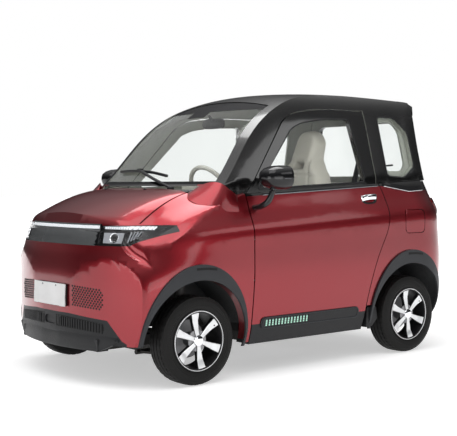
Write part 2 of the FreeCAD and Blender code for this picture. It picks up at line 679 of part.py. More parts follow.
GARNISH_FRONT_Y = -361.0
GARNISH_REAR_Y = 429.0
GARNISH_BOTTOM_Z = 264.0
GARNISH_TOP_Z = 331.0
GARNISH_PROUD = 5.0
GARNISH_END_SHARE = 0.45
GARNISH_BARS = 14
GARNISH_FIRST_Y = -318.0
GARNISH_PITCH = 24.0
GARNISH_BAR = 13.0
GARNISH_RIM = 13.0
GARNISH_SINK = 2.0


def make_door_trim():
    """Return the left door's black sill cladding with its rounded side strip."""
    cladding = largest(BODY_RING.common(door_prism(0)).common(side_band(-CUT_REACH, CUT_REACH, 0, SILL_LINE_Z)))
    outline = (
        (GARNISH_FRONT_Y, GARNISH_BOTTOM_Z),
        (GARNISH_REAR_Y, GARNISH_BOTTOM_Z),
        (GARNISH_REAR_Y, GARNISH_TOP_Z),
        (GARNISH_FRONT_Y, GARNISH_TOP_Z),
    )
    radius = (GARNISH_TOP_Z - GARNISH_BOTTOM_Z) * GARNISH_END_SHARE
    strip = body_layer(prism_x(outline, DOOR_INNER_X, CUT_REACH, radius), -GARNISH_PROUD, -FIT_GAP)
    grooves = []
    for index in range(GARNISH_BARS):
        start = GARNISH_FIRST_Y + index * GARNISH_PITCH
        grooves.append(box(DOOR_INNER_X, CUT_REACH, start, start + GARNISH_BAR, GARNISH_BOTTOM_Z + GARNISH_RIM,
                           GARNISH_TOP_Z - GARNISH_RIM))
    strip = largest(strip.cut(Part.Compound(grooves).cut(body_mass(-GARNISH_SINK))))
    return Part.Compound([cladding, strip])


def tailgate_hinge(x, radius, half, end):
    """Return a round bar along the tailgate's hinge axis about a station."""
    return rod(radius, V(x - half, TAILGATE_HINGE_Y, end), V(x + half, TAILGATE_HINGE_Y, end))


def make_roof():
    """Return the roof with its pillars, cut for the windscreen, doors, quarter lights and tailgate."""
    shell = CABIN_SHELL.cut(quarter_prism())
    shell = shell.cut(mirrored(quarter_prism()))
    shell = shell.cut(tailgate_prism(TAILGATE_GAP))
    shell = shell.cut(frame_prism(PANEL_GAP)).cut(mirrored(frame_prism(PANEL_GAP)))
    shell = shell.cut(screen_prism()).common(ABOVE_BELT)
    shell = shell.cut(box(-COWL_HALF, COWL_HALF, -CUT_REACH, SCUTTLE_REAR_Y, 0, SCUTTLE_Z))
    parts = [largest(shell)]
    for x in (-TAILGATE_HINGE_X, TAILGATE_HINGE_X):
        lug = box(x - HINGE_LUG / 2, x + HINGE_LUG / 2, TAILGATE_HINGE_Y - 2 * HINGE_EYE_RADIUS,
                  TAILGATE_HINGE_Y, TAILGATE_HINGE_Z - HINGE_PIN_RADIUS, TAILGATE_TOP_Z + 2 * TAILGATE_GAP)
        lug = lug.fuse(tailgate_hinge(x, HINGE_EYE_RADIUS, HINGE_LUG / 2, TAILGATE_HINGE_Z))
        parts.append(lug.cut(tailgate_hinge(x, HINGE_PIN_RADIUS + RUNNING_CLEARANCE, HINGE_LUG, TAILGATE_HINGE_Z)))
    return fused(parts)


def screen_prism():
    """Return the prism of the windscreen opening, seen from the front."""
    z = SCREEN_BOTTOM_Z
    left_low = V(SCREEN_BOTTOM_HALF, -CUT_REACH, z)
    right_low = V(-SCREEN_BOTTOM_HALF, -CUT_REACH, z)
    left_high = V(SCREEN_TOP_HALF, -CUT_REACH, SCREEN_TOP_Z)
    right_high = V(-SCREEN_TOP_HALF, -CUT_REACH, SCREEN_TOP_Z)
    crown = V(0, -CUT_REACH, SCREEN_TOP_Z + SCREEN_TOP_BOW)
    wire = Part.Wire([
        Part.makeLine(right_low, left_low),
        Part.makeLine(left_low, left_high),
        Part.Arc(left_high, crown, right_high).toShape(),
        Part.makeLine(right_high, right_low),
    ])
    return Part.Face(wire).extrude(V(0, CUT_REACH + SCREEN_REAR_Y, 0))


def quarter_prism():
    """Return the prism of the left quarter light's opening."""
    return prism_x(QUARTER_OUTLINE, DOOR_INNER_X, CUT_REACH, WINDOW_RADIUS)


def tailgate_prism(grow):
    """Return the prism of the tailgate's outline, seen from behind, with a margin."""
    half = TAILGATE_HALF + grow
    top = TAILGATE_TOP_HALF + grow
    outline = (
        (-half, TAILGATE_BOTTOM_Z - grow),
        (half, TAILGATE_BOTTOM_Z - grow),
        (half, BODY_HEIGHT),
        (top, TAILGATE_TOP_Z + grow),
        (-top, TAILGATE_TOP_Z + grow),
        (-half, BODY_HEIGHT),
    )
    return prism_y(outline, TAILGATE_FRONT_Y, CUT_REACH, BONNET_CORNER_RADIUS)


def backlight_prism():
    """Return the prism of the tailgate's window, seen from behind."""
    outline = (
        (-BACKLIGHT_HALF, BACKLIGHT_BOTTOM_Z),
        (BACKLIGHT_HALF, BACKLIGHT_BOTTOM_Z),
        (BACKLIGHT_TOP_HALF, BACKLIGHT_TOP_Z),
        (-BACKLIGHT_TOP_HALF, BACKLIGHT_TOP_Z),
    )
    return prism_y(outline, TAILGATE_FRONT_Y, CUT_REACH, BONNET_CORNER_RADIUS)


def make_glazing():
    """Return the windscreen and both quarter lights."""
    opening = screen_prism().common(side_band(-CUT_REACH, 0, 0, CUT_REACH))
    screen = roof_field(GLASS_SINK).common(opening).cut(roof_field(GLASS_SINK + GLASS_WALL)).common(CABIN)
    quarter = cabin_layer(quarter_prism(), GLASS_SINK, GLASS_SINK + GLASS_WALL)
    return Part.Compound([largest(screen), quarter, mirrored(quarter)])


@functools.lru_cache
def lower_rear():
    """Return the lower body's wall behind the doors."""
    ring = BODY_RING.cut(ABOVE_BELT).common(side_band(0, CUT_REACH, 0, CUT_REACH))
    return ring.cut(door_prism(PANEL_GAP)).cut(mirrored(door_prism(PANEL_GAP)))


def flap_prism(grow):
    """Return the prism of the charging flap on the left rear wing, with a margin."""
    outline = [(y + math.copysign(grow, y - FLAP_OUTLINE[0][0] - grow - FLAP_RADIUS),
                z + math.copysign(grow, z - FLAP_OUTLINE[0][1] - grow - FLAP_RADIUS)) for y, z in FLAP_OUTLINE]
    return prism_x(outline, DOOR_INNER_X, CUT_REACH, FLAP_RADIUS)


def tail_lamp_prism():
    """Return the prism of the left tail lamp, seen from the side."""
    return prism_x(TAIL_LAMP_OUTLINE, TAILGATE_HALF + PANEL_GAP, CUT_REACH)


def make_rear_body():
    """Return the rear wings and the panel below the tailgate."""
    shell = lower_rear().cut(tailgate_prism(PANEL_GAP)).cut(arch_cut(REAR_AXLE_Y, ARCH_RADIUS))
    shell = shell.cut(tail_lamp_prism()).cut(mirrored(tail_lamp_prism()))
    shell = shell.cut(side_band(-CUT_REACH, CUT_REACH, 0, REAR_BUMPER_TOP_Z))
    pocket = body_layer(flap_prism(PANEL_GAP * FLAP_GAP_SHARE), -PANEL_GAP, BODY_WALL / 2)
    return largest(largest(shell.cut(pocket)).cut(flap_pin(FLAP_PIN_RADIUS + RUNNING_CLEARANCE)))


def make_rear_bumper():
    """Return the black lower bumper behind the rear wheels."""
    band = lower_rear().common(side_band(REAR_AXLE_Y, CUT_REACH, FRONT_BOTTOM_Z, REAR_BUMPER_TOP_Z - FIT_GAP))
    return largest(band.cut(arch_cut(REAR_AXLE_Y, ARCH_RADIUS)))


def make_tailgate():
    """Return the tailgate with its window opening."""
    lower = BODY_RING.cut(ABOVE_BELT).common(tailgate_prism(0))
    upper = CABIN_SHELL.common(tailgate_prism(0)).cut(backlight_prism())
    room = HINGE_EYE_RADIUS + TAILGATE_GAP
    ears = []
    for x in (-TAILGATE_HINGE_X, TAILGATE_HINGE_X):
        notch = box(x - HINGE_LUG, x + HINGE_LUG, TAILGATE_HINGE_Y - 2 * room, CUT_REACH, TAILGATE_HINGE_Z - room, CUT_REACH)
        upper = upper.cut(notch)
        for ear_x in (x - HINGE_LUG - HINGE_EYE_RADIUS, x + HINGE_LUG):
            ears.append(box(ear_x, ear_x + HINGE_EYE_RADIUS, TAILGATE_HINGE_Y - room, TAILGATE_HINGE_Y,
                            TAILGATE_HINGE_Z - room, TAILGATE_HINGE_Z))
        ears.append(tailgate_hinge(x, HINGE_PIN_RADIUS, HINGE_LUG + HINGE_EYE_RADIUS, TAILGATE_HINGE_Z))
    return fused([largest(upper)] + ears + [largest(lower)])


def make_tailgate_glass():
    """Return the tailgate's glass."""
    return cabin_layer(backlight_prism(), GLASS_SINK, GLASS_SINK + GLASS_WALL)


def make_tail_lamps():
    """Return both tail lamps."""
    lamp = body_layer(tail_lamp_prism(), 0, TAIL_LAMP_DEPTH)
    return Part.Compound([lamp, mirrored(lamp)])


def make_charge_flap():
    """Return the charging flap."""
    return fused([body_layer(flap_prism(0), 0, FLAP_WALL), flap_pin(FLAP_PIN_RADIUS)])


def flap_pin(radius):
    """Return the charging flap's hinge pin, reaching into the wing at both ends."""
    low = FLAP_OUTLINE[0][1] - PANEL_GAP
    high = FLAP_OUTLINE[2][1] + PANEL_GAP
    x = HALF_WIDTH - FLAP_PIN_INSET
    y = FLAP_OUTLINE[0][0] + FLAP_PIN_SETBACK
    return rod(radius, V(x, y, low), V(x, y, high))


def make_arch_flares():
    """Return the four black flares, standing a little proud of the body round each arch."""
    flares = []
    for axle_y in (FRONT_AXLE_Y, REAR_AXLE_Y):
        middle = V(0, axle_y, AXLE_Z)
        ellipse = Part.Ellipse(middle + Z_AXIS * FLARE_TOP, middle + Y_AXIS * FLARE_HALF_WIDTH, middle)
        oval = Part.Face(Part.Wire([ellipse.toShape()])).extrude(V(CUT_REACH, 0, 0))
        ring = oval.cut(arch_cut(axle_y, ARCH_RADIUS)).cut(side_band(-CUT_REACH, CUT_REACH, 0, FLARE_FOOT_Z))
        ring = ring.cut(side_band(-CUT_REACH, FRONT_AXLE_Y, 0, NOSE_BOTTOM_Z))
        flare = body_layer(ring, -FLARE_PROUD, -FIT_GAP)
        flares += [flare, mirrored(flare)]
    return Part.Compound(flares)


def make_wheel_liners():
    """Return the four round wheelhouse shells with their inner walls."""
    liners = []
    for axle_y in (FRONT_AXLE_Y, REAR_AXLE_Y):
        inner = HALF_WIDTH - ARCH_DEPTH - PANEL_GAP
        outer = HALF_WIDTH - BODY_WALL - PANEL_GAP
        drum = tube(ARCH_RADIUS + LINER_WALL, ARCH_RADIUS, V(inner, axle_y, AXLE_Z), V(outer, axle_y, AXLE_Z))
        disc = rod(ARCH_RADIUS + LINER_WALL, V(inner - LINER_WALL, axle_y, AXLE_Z), V(inner, axle_y, AXLE_Z))
        shell = drum.fuse(disc).cut(side_band(-CUT_REACH, CUT_REACH, 0, TYRE_RADIUS + WHEELHOUSE_LIFT))
        shell = shell.common(body_mass(BODY_WALL + FIT_GAP))
        shell = shell.cut(rod(KINGPIN_RADIUS + HINGE_PIN_RADIUS, V(KINGPIN_X, axle_y, AXLE_Z), V(KINGPIN_X, axle_y, BODY_HEIGHT)))
        liners += [largest(shell), largest(mirrored(shell))]
    return Part.Compound(liners)


WHEELHOUSE_LIFT = 60.0


# Cowl between the bonnet and the windscreen, and its wiper
COWL_HALF = 556.0
COWL_WALL = 8.0
COWL_UNDER_HALF = 470.0
COWL_PROFILE = ((-800.0, 996.0), (-655.0, 1000.0), (-638.0, 1036.0), (-608.0, 1058.0))
SCUTTLE_Z = 1078.0
SCUTTLE_REAR_Y = -560.0
BONNET_HINGE_X = 400.0
BONNET_HINGE_Y = -733.0
BONNET_HINGE_Z = 1024.0
HINGE_PIN_RADIUS = 5.0
HINGE_EYE_RADIUS = 9.0
HINGE_LUG = 12.0
WIPER_PIVOT = V(300.0, -684.0, 1062.0)
WIPER_ELBOW_X = 240.0
WIPER_ELBOW_Z = 1088.0
WIPER_JOINT_X = -110.0
WIPER_BLADE_Z = 1160.0
WIPER_NEAR_X = 183.0
WIPER_NEAR_Z = 1128.0
WIPER_FAR_X = -397.0
WIPER_LIFT = 15.0
WIPER_RADIUS = 6.0

# Frame, floor and battery
RAIL_X = 330.0
RAIL_HALF = 25.0
RAIL_BOTTOM_Z = 190.0
RAIL_TOP_Z = 250.0
RAIL_KICK_Y = 573.0
REAR_RAIL_BOTTOM_Z = 310.0
REAR_RAIL_TOP_Z = 370.0
RAIL_FRONT_Y = -1180.0
RAIL_REAR_Y = 1205.0
SILL_INNER_X = 560.0
SILL_OUTER_X = 606.0
SILL_FRONT_Y = -410.0
SILL_REAR_Y = 500.0
CROSS_WIDTH = 50.0
BEAM_HALF = 430.0
BEAM_BOTTOM_Z = 420.0
BEAM_TOP_Z = 490.0
BEAM_DEPTH = 30.0
FLOOR_REAR_Y = 520.0
DECK_Z = 585.0
DECK_REAR_Y = 1240.0
BATTERY_HALF = 270.0
BATTERY_FRONT_Y = -340.0
BATTERY_REAR_Y = 420.0
BATTERY_BOTTOM_Z = 150.0

# Front suspension and steering
KINGPIN_X = 540.0
KINGPIN_BOTTOM_Z = 126.0
KINGPIN_TOP_Z = 652.0
KINGPIN_RADIUS = 11.0
STRUT_RADIUS = 22.0
STRUT_BOTTOM_Z = 250.0
STRUT_TOP_Z = 566.0
SPRING_RADIUS = 32.0
SPRING_BOTTOM_Z = 440.0
TOWER_BOTTOM_Z = 590.0
TOWER_TOP_Z = 640.0
TOWER_HALF = 46.0
TOWER_INNER_X = 372.0
TOWER_POST_X = 412.0
ARM_BOTTOM_Z = 132.0
ARM_TOP_Z = 160.0
ARM_INNER_X = 300.0
ARM_SPREAD = 120.0
ARM_RADIUS = 14.0
AXLE_RADIUS = 15.0
AXLE_END_X = 694.0
UPRIGHT_HALF = 26.0
UPRIGHT_BOTTOM_Z = 164.0
UPRIGHT_TOP_Z = 330.0
UPRIGHT_OUTER_X = 580.0
STEER_ARM = 110.0
STEER_ARM_BOTTOM_Z = 196.0
STEER_ARM_TOP_Z = 209.0
STEER_ARM_HALF = 11.0
RACK_RADIUS = 9.0
RACK_EYE_RADIUS = 15.0
RACK_EYE_HEIGHT = 20.0
RACK_HOUSING_RADIUS = 20.0
RACK_HOUSING_HALF = 210.0

# Wheels
RIM_RADIUS = 167.5
RIM_SEAT_RADIUS = 155.0
RIM_WALL = 6.0
RIM_LIP = 9.0
HUB_RADIUS = 62.0
HUB_WALL = 14.0
SPOKES = 6
SPOKE_HUB_HALF = 17.0
SPOKE_RIM_HALF = 27.0
SPOKE_SINK = 12.0
SPOKE_BEVEL = 7.0
SPOKE_FACE_SHARE = 0.72
BRAKE_RADIUS = 104.0
BRAKE_WALL = 10.0
BRAKE_X = 604.0
HUB_CAP_RADIUS = 26.0
TYRE_SHOULDER = 10.0

# Rear axle
AXLE_TUBE_RADIUS = 28.0
MOTOR_RADIUS = 88.0
MOTOR_HALF = 135.0
SPRING_X = 440.0
SPRING_WIDTH = 50.0
LEAF_SPAN = 305.0
LEAF_WALL = 18.0
LEAF_EYE_Z = 262.0


def cowl_prism(grow):
    """Return the plan prism of the cowl's place with a margin, narrower below the bonnet."""
    half = COWL_HALF + grow
    under = COWL_UNDER_HALF + grow
    step = BONNET_REAR_Y + PANEL_GAP - grow
    front = COWL_PROFILE[0][0] - grow
    outline = ((-under, front), (under, front), (under, step), (half, step), (half, DOOR_FRONT_Y),
               (-half, DOOR_FRONT_Y), (-half, step), (-under, step))
    return prism_z(outline, BODY_HEIGHT - BONNET_FALL, CUT_REACH)


def make_cowl():
    """Return the sunken black cowl panel between the bonnet and the windscreen."""
    lower = [(y, z - COWL_WALL) for y, z in reversed(COWL_PROFILE)]
    panel = prism_x(list(COWL_PROFILE) + lower, -COWL_HALF, COWL_HALF).common(cowl_prism(0))
    for x in (-BONNET_HINGE_X, BONNET_HINGE_X):
        lug = rod(HINGE_EYE_RADIUS, V(x, BONNET_HINGE_Y, BONNET_HINGE_Z), V(x + HINGE_LUG, BONNET_HINGE_Y, BONNET_HINGE_Z))
        foot = box(x, x + HINGE_LUG, BONNET_HINGE_Y - HINGE_EYE_RADIUS, BONNET_HINGE_Y + HINGE_EYE_RADIUS,
                   COWL_PROFILE[1][1] - COWL_WALL, BONNET_HINGE_Z)
        panel = panel.fuse([lug, foot])
        panel = panel.cut(rod(HINGE_PIN_RADIUS + RUNNING_CLEARANCE, V(x - HINGE_LUG, BONNET_HINGE_Y, BONNET_HINGE_Z),
                              V(x + 2 * HINGE_LUG, BONNET_HINGE_Y, BONNET_HINGE_Z)))
    return largest(panel)


CABIN_FOOT = CABIN.common(ROOF).common(ABOVE_BELT)


def screen_point(x, z, lift):
    """Return a point of the windscreen's face at a width and height, lifted off it squarely."""
    side = x / ROOF_SIDE_REACH
    height = (z + ROOF_CROWN * side * side) / ROOF_HEIGHT
    for (start, low), (end, high) in zip(ROOF_PROFILE_SHARES, ROOF_PROFILE_SHARES[1:]):
        if low <= height <= high:
            along = start + (end - start) * (height - low) / (high - low)
            slope = V(0, HALF_LENGTH * (end - start), ROOF_HEIGHT * (high - low)).normalize()
            break
    out = V(0, -slope.z, slope.y)
    return V(x, HALF_LENGTH * along + SCREEN_BOW * side * side, z) + out * lift


def make_wiper():
    """Return the single windscreen wiper: pivot, arm and a bent blade in two halves."""
    joint = screen_point(WIPER_JOINT_X, WIPER_BLADE_Z, WIPER_LIFT + WIPER_RADIUS)
    elbow = screen_point(WIPER_ELBOW_X, WIPER_ELBOW_Z, WIPER_LIFT + WIPER_RADIUS)
    arm = rod(WIPER_RADIUS, WIPER_PIVOT, elbow).fuse(rod(WIPER_RADIUS, elbow, joint))
    near = screen_point(WIPER_NEAR_X, WIPER_NEAR_Z, WIPER_LIFT)
    middle = screen_point(WIPER_JOINT_X, WIPER_BLADE_Z, WIPER_LIFT)
    far = screen_point(WIPER_FAR_X, WIPER_BLADE_Z, WIPER_LIFT)
    post = rod(WIPER_RADIUS + GLASS_SINK, V(WIPER_PIVOT.x, WIPER_PIVOT.y, BODY_HEIGHT), WIPER_PIVOT + Z_AXIS * WIPER_RADIUS)
    return fused([arm, rod(WIPER_RADIUS, near, middle), rod(WIPER_RADIUS, middle, far), post]).cut(cowl_mass())


def cowl_mass():
    """Return everything under the cowl's top face, with a hair's gap, that the wiper post stands on."""
    outline = [(y, z + FIT_GAP) for y, z in COWL_PROFILE]
    outline += [(COWL_PROFILE[-1][0], 0), (COWL_PROFILE[0][0], 0)]
    return prism_x(outline, -COWL_HALF, COWL_HALF)


def make_chassis_frame():
    """Return the steel frame: rails, sills, cross members, bumper beams and strut towers."""
    parts = []
    for side in (1, -1):
        low = min(side * (RAIL_X - RAIL_HALF), side * (RAIL_X + RAIL_HALF))
        high = low + 2 * RAIL_HALF
        parts.append(box(low, high, RAIL_FRONT_Y, RAIL_KICK_Y, RAIL_BOTTOM_Z, RAIL_TOP_Z))
        parts.append(box(low, high, RAIL_KICK_Y - CROSS_WIDTH, RAIL_KICK_Y, RAIL_BOTTOM_Z, REAR_RAIL_TOP_Z))
        parts.append(box(low, high, RAIL_KICK_Y - CROSS_WIDTH, RAIL_REAR_Y, REAR_RAIL_BOTTOM_Z, REAR_RAIL_TOP_Z))
        parts.append(box(low, high, RAIL_REAR_Y - BEAM_DEPTH, RAIL_REAR_Y, LEAF_EYE_Z - LEAF_WALL, REAR_RAIL_TOP_Z))
        low = min(side * SILL_INNER_X, side * SILL_OUTER_X)
        parts.append(box(low, low + SILL_OUTER_X - SILL_INNER_X, SILL_FRONT_Y, SILL_REAR_Y,
                         RAIL_BOTTOM_Z, RAIL_TOP_Z))
        low = min(side * TOWER_INNER_X, side * TOWER_POST_X)
        parts.append(box(low, low + TOWER_POST_X - TOWER_INNER_X, FRONT_AXLE_Y - TOWER_HALF,
                         FRONT_AXLE_Y + TOWER_HALF, RAIL_BOTTOM_Z, TOWER_TOP_Z))
        reach = KINGPIN_X + TOWER_HALF
        low = min(side * TOWER_INNER_X, side * reach)
        cap = box(low, low + reach - TOWER_INNER_X, FRONT_AXLE_Y - TOWER_HALF, FRONT_AXLE_Y + TOWER_HALF,
                  TOWER_BOTTOM_Z, TOWER_TOP_Z)
        bore = rod(KINGPIN_RADIUS + RUNNING_CLEARANCE, V(side * KINGPIN_X, FRONT_AXLE_Y, 0),
                   V(side * KINGPIN_X, FRONT_AXLE_Y, CUT_REACH))
        parts.append(cap.cut(bore))
    for y, reach in ((RAIL_FRONT_Y, RAIL_X), (SILL_FRONT_Y, SILL_OUTER_X), (SILL_REAR_Y - CROSS_WIDTH, SILL_OUTER_X)):
        parts.append(box(-reach, reach, y, y + CROSS_WIDTH, RAIL_BOTTOM_Z, RAIL_TOP_Z))
    parts.append(box(-RAIL_X, RAIL_X, RAIL_REAR_Y - CROSS_WIDTH, RAIL_REAR_Y, REAR_RAIL_BOTTOM_Z, REAR_RAIL_TOP_Z))
    for y in (RAIL_FRONT_Y, RAIL_REAR_Y - BEAM_DEPTH):
        parts.append(box(-BEAM_HALF, BEAM_HALF, y, y + BEAM_DEPTH, BEAM_BOTTOM_Z, BEAM_TOP_Z))
        for x in (-RAIL_X, RAIL_X):
            parts.append(box(x - RAIL_HALF, x + RAIL_HALF, y, y + BEAM_DEPTH, RAIL_TOP_Z, BEAM_BOTTOM_Z))
    rack_y = FRONT_AXLE_Y + STEER_ARM
    hole = rod(RACK_RADIUS + PANEL_GAP, V(-CUT_REACH, rack_y, RACK_Z), V(CUT_REACH, rack_y, RACK_Z))
    return largest(fused(parts).cut(hole))


def make_floor_pan():
    """Return the floor with the bulkhead in front and the raised deck behind."""
    inside = BODY_INSIDE.common(SHOULDER_INSIDE.fuse(side_band(DOOR_FRONT_Y, CUT_REACH, 0, CUT_REACH)))
    floor = box(-SILL_OUTER_X, SILL_OUTER_X, BULKHEAD_Y, FLOOR_REAR_Y, RAIL_TOP_Z, RAIL_TOP_Z + SHEET)
    bulkhead = box(-SILL_OUTER_X, SILL_OUTER_X, BULKHEAD_Y, BULKHEAD_Y + SHEET, RAIL_TOP_Z, BULKHEAD_TOP_Z)
    riser = box(-SILL_OUTER_X, SILL_OUTER_X, FLOOR_REAR_Y - SHEET, FLOOR_REAR_Y, RAIL_TOP_Z, DECK_Z)
    deck = side_band(FLOOR_REAR_Y - SHEET, DECK_REAR_Y, DECK_Z, DECK_Z + SHEET)
    return fused([floor, bulkhead.common(inside), riser, deck.common(inside)])


def make_battery_pack():
    """Return the battery box that hangs between the rails."""
    return box(-BATTERY_HALF, BATTERY_HALF, BATTERY_FRONT_Y, BATTERY_REAR_Y, BATTERY_BOTTOM_Z, RAIL_TOP_Z)


def make_front_suspension():
    """Return the front cross member with both lower arms and the steering gear's housing."""
    reach = RAIL_X + RAIL_HALF
    parts = [box(-reach, reach, FRONT_AXLE_Y - CROSS_WIDTH, FRONT_AXLE_Y + CROSS_WIDTH, ARM_BOTTOM_Z,
                 RAIL_BOTTOM_Z - FIT_GAP)]
    for side in (1, -1):
        eye_low = V(side * KINGPIN_X, FRONT_AXLE_Y, ARM_BOTTOM_Z)
        eye_high = V(side * KINGPIN_X, FRONT_AXLE_Y, ARM_TOP_Z)
        middle = (eye_low + eye_high) / 2
        plate = (
            (side * KINGPIN_X, FRONT_AXLE_Y - ARM_RADIUS),
            (side * KINGPIN_X, FRONT_AXLE_Y + ARM_RADIUS),
            (side * ARM_INNER_X, FRONT_AXLE_Y + ARM_SPREAD),
            (side * ARM_INNER_X, FRONT_AXLE_Y - ARM_SPREAD),
        )
        parts.append(prism_z(plate, middle.z - ARM_RADIUS / 2, middle.z + ARM_RADIUS / 2))
        parts.append(rod(ARM_RADIUS * 2, eye_low, eye_high))
        parts.append(rod(ARM_RADIUS, V(side * ARM_INNER_X, FRONT_AXLE_Y - ARM_SPREAD - ARM_RADIUS, middle.z),
                         V(side * ARM_INNER_X, FRONT_AXLE_Y + ARM_SPREAD + ARM_RADIUS, middle.z)))
    rack_y = FRONT_AXLE_Y + STEER_ARM
    housing = rod(RACK_HOUSING_RADIUS, V(-RACK_HOUSING_HALF, rack_y, RACK_Z), V(RACK_HOUSING_HALF, rack_y, RACK_Z))
    parts.append(housing)
    for x in (-RACK_HOUSING_HALF / 2, RACK_HOUSING_HALF / 2):
        parts.append(box(x - RAIL_HALF, x + RAIL_HALF, FRONT_AXLE_Y, rack_y, ARM_TOP_Z, RAIL_BOTTOM_Z))
        parts.append(box(x - RAIL_HALF, x + RAIL_HALF, rack_y - RAIL_HALF, rack_y, ARM_TOP_Z, RACK_Z))
    body = fused(parts)
    for side in (1, -1):
        body = body.cut(rod(KINGPIN_RADIUS + RUNNING_CLEARANCE, V(side * KINGPIN_X, FRONT_AXLE_Y, 0),
                            V(side * KINGPIN_X, FRONT_AXLE_Y, AXLE_Z)))
    return largest(body.cut(rod(RACK_RADIUS + RUNNING_CLEARANCE, V(-CUT_REACH, rack_y, RACK_Z),
                                V(CUT_REACH, rack_y, RACK_Z))))


RACK_Z = STEER_ARM_TOP_Z + FIT_GAP + RACK_EYE_HEIGHT / 2


def make_steering_rack():
    """Return the steering rack with its two track rods, each ending over a steering arm."""
    rack_y = FRONT_AXLE_Y + STEER_ARM
    bar = rod(RACK_RADIUS, V(-KINGPIN_X, rack_y, RACK_Z), V(KINGPIN_X, rack_y, RACK_Z))
    eyes = [rod(RACK_EYE_RADIUS, V(x, rack_y, RACK_Z - RACK_EYE_HEIGHT / 2),
                V(x, rack_y, RACK_Z + RACK_EYE_HEIGHT / 2)) for x in (-KINGPIN_X, KINGPIN_X)]
    return fused([bar] + eyes)


def make_knuckle():
    """Return the left strut and steering knuckle with its kingpin, stub axle, arm and caliper."""
    pin = rod(KINGPIN_RADIUS, V(KINGPIN_X, FRONT_AXLE_Y, KINGPIN_BOTTOM_Z), V(KINGPIN_X, FRONT_AXLE_Y, KINGPIN_TOP_Z))
    strut = rod(STRUT_RADIUS, V(KINGPIN_X, FRONT_AXLE_Y, STRUT_BOTTOM_Z), V(KINGPIN_X, FRONT_AXLE_Y, STRUT_TOP_Z))
    spring = rod(SPRING_RADIUS, V(KINGPIN_X, FRONT_AXLE_Y, SPRING_BOTTOM_Z), V(KINGPIN_X, FRONT_AXLE_Y, STRUT_TOP_Z))
    upright = box(KINGPIN_X - UPRIGHT_HALF, UPRIGHT_OUTER_X, FRONT_AXLE_Y - UPRIGHT_HALF, FRONT_AXLE_Y + UPRIGHT_HALF,
                  UPRIGHT_BOTTOM_Z, UPRIGHT_TOP_Z)
    axle = rod(AXLE_RADIUS, V(KINGPIN_X, FRONT_AXLE_Y, AXLE_Z), V(AXLE_END_X, FRONT_AXLE_Y, AXLE_Z))
    arm = box(KINGPIN_X - STEER_ARM_HALF, KINGPIN_X + STEER_ARM_HALF, FRONT_AXLE_Y,
              FRONT_AXLE_Y + STEER_ARM + STEER_ARM_HALF, STEER_ARM_BOTTOM_Z, STEER_ARM_TOP_Z)
    return fused([pin, strut, spring, upright, axle, arm])


def make_tyre():
    """Return a tyre about the X axis, its middle at the origin."""
    half = TYRE_WIDTH / 2
    bead = half - RIM_LIP
    profile = [
        V(-bead, RIM_SEAT_RADIUS, 0),
        V(bead, RIM_SEAT_RADIUS, 0),
        V(bead, TYRE_RADIUS - TYRE_SHOULDER, 0),
        V(bead - TYRE_SHOULDER, TYRE_RADIUS, 0),
    ]
    profile = profile + [V(-point.x, point.y, 0) for point in reversed(profile[2:])]
    face = Part.Face(Part.makePolygon(profile + profile[:1]))
    return face.revolve(V(0, 0, 0), X_AXIS, 360)


def make_spoke(reach, face_x):
    """Return one wheel spoke with bevelled sides, standing up from the middle."""
    outline = ((-SPOKE_HUB_HALF, 0), (SPOKE_HUB_HALF, 0), (SPOKE_RIM_HALF, reach), (-SPOKE_RIM_HALF, reach))
    low = prism_x(outline, face_x - HUB_WALL, face_x - SPOKE_BEVEL)
    wires = []
    for x, share in ((face_x - SPOKE_BEVEL, 1), (face_x, SPOKE_FACE_SHARE)):
        points = [V(x, y * share, z) for y, z in outline]
        wires.append(Part.makePolygon(points + points[:1]))
    return low.fuse(Part.makeLoft(wires, True, True))


def make_rim():
    """Return a wheel about the X axis, its outer face towards +X, with its brake disc."""
    half = TYRE_WIDTH / 2
    bead = half - RIM_LIP
    inner = RIM_SEAT_RADIUS - RIM_WALL
    profile = [
        V(-half, inner, 0), V(half, inner, 0), V(half, RIM_RADIUS, 0), V(bead, RIM_RADIUS, 0),
        V(bead, RIM_SEAT_RADIUS, 0), V(-bead, RIM_SEAT_RADIUS, 0), V(-bead, RIM_RADIUS, 0), V(-half, RIM_RADIUS, 0),
    ]
    barrel = Part.Face(Part.makePolygon(profile + profile[:1])).revolve(V(0, 0, 0), X_AXIS, 360)
    face_x = half - SPOKE_SINK
    hub = rod(HUB_RADIUS, V(face_x - HUB_WALL, 0, 0), V(face_x, 0, 0))
    cap = rod(HUB_CAP_RADIUS, V(BRAKE_X - WHEEL_PLANE_X, 0, 0), V(face_x + SPOKE_SINK / 2, 0, 0))
    disc = rod(BRAKE_RADIUS, V(BRAKE_X - WHEEL_PLANE_X, 0, 0), V(BRAKE_X - WHEEL_PLANE_X + BRAKE_WALL, 0, 0))
    parts = [barrel, hub, cap, disc]
    spoke = make_spoke(inner + RIM_WALL / 2, face_x)
    for index in range(SPOKES):
        turned = spoke.copy()
        turned.rotate(V(0, 0, 0), X_AXIS, 360 * index / SPOKES)
        parts.append(turned)
    bore = rod(AXLE_RADIUS + RUNNING_CLEARANCE, V(-CUT_REACH, 0, 0),
               V(AXLE_END_X - WHEEL_PLANE_X + RUNNING_CLEARANCE, 0, 0))
    return largest(fused(parts).cut(bore))


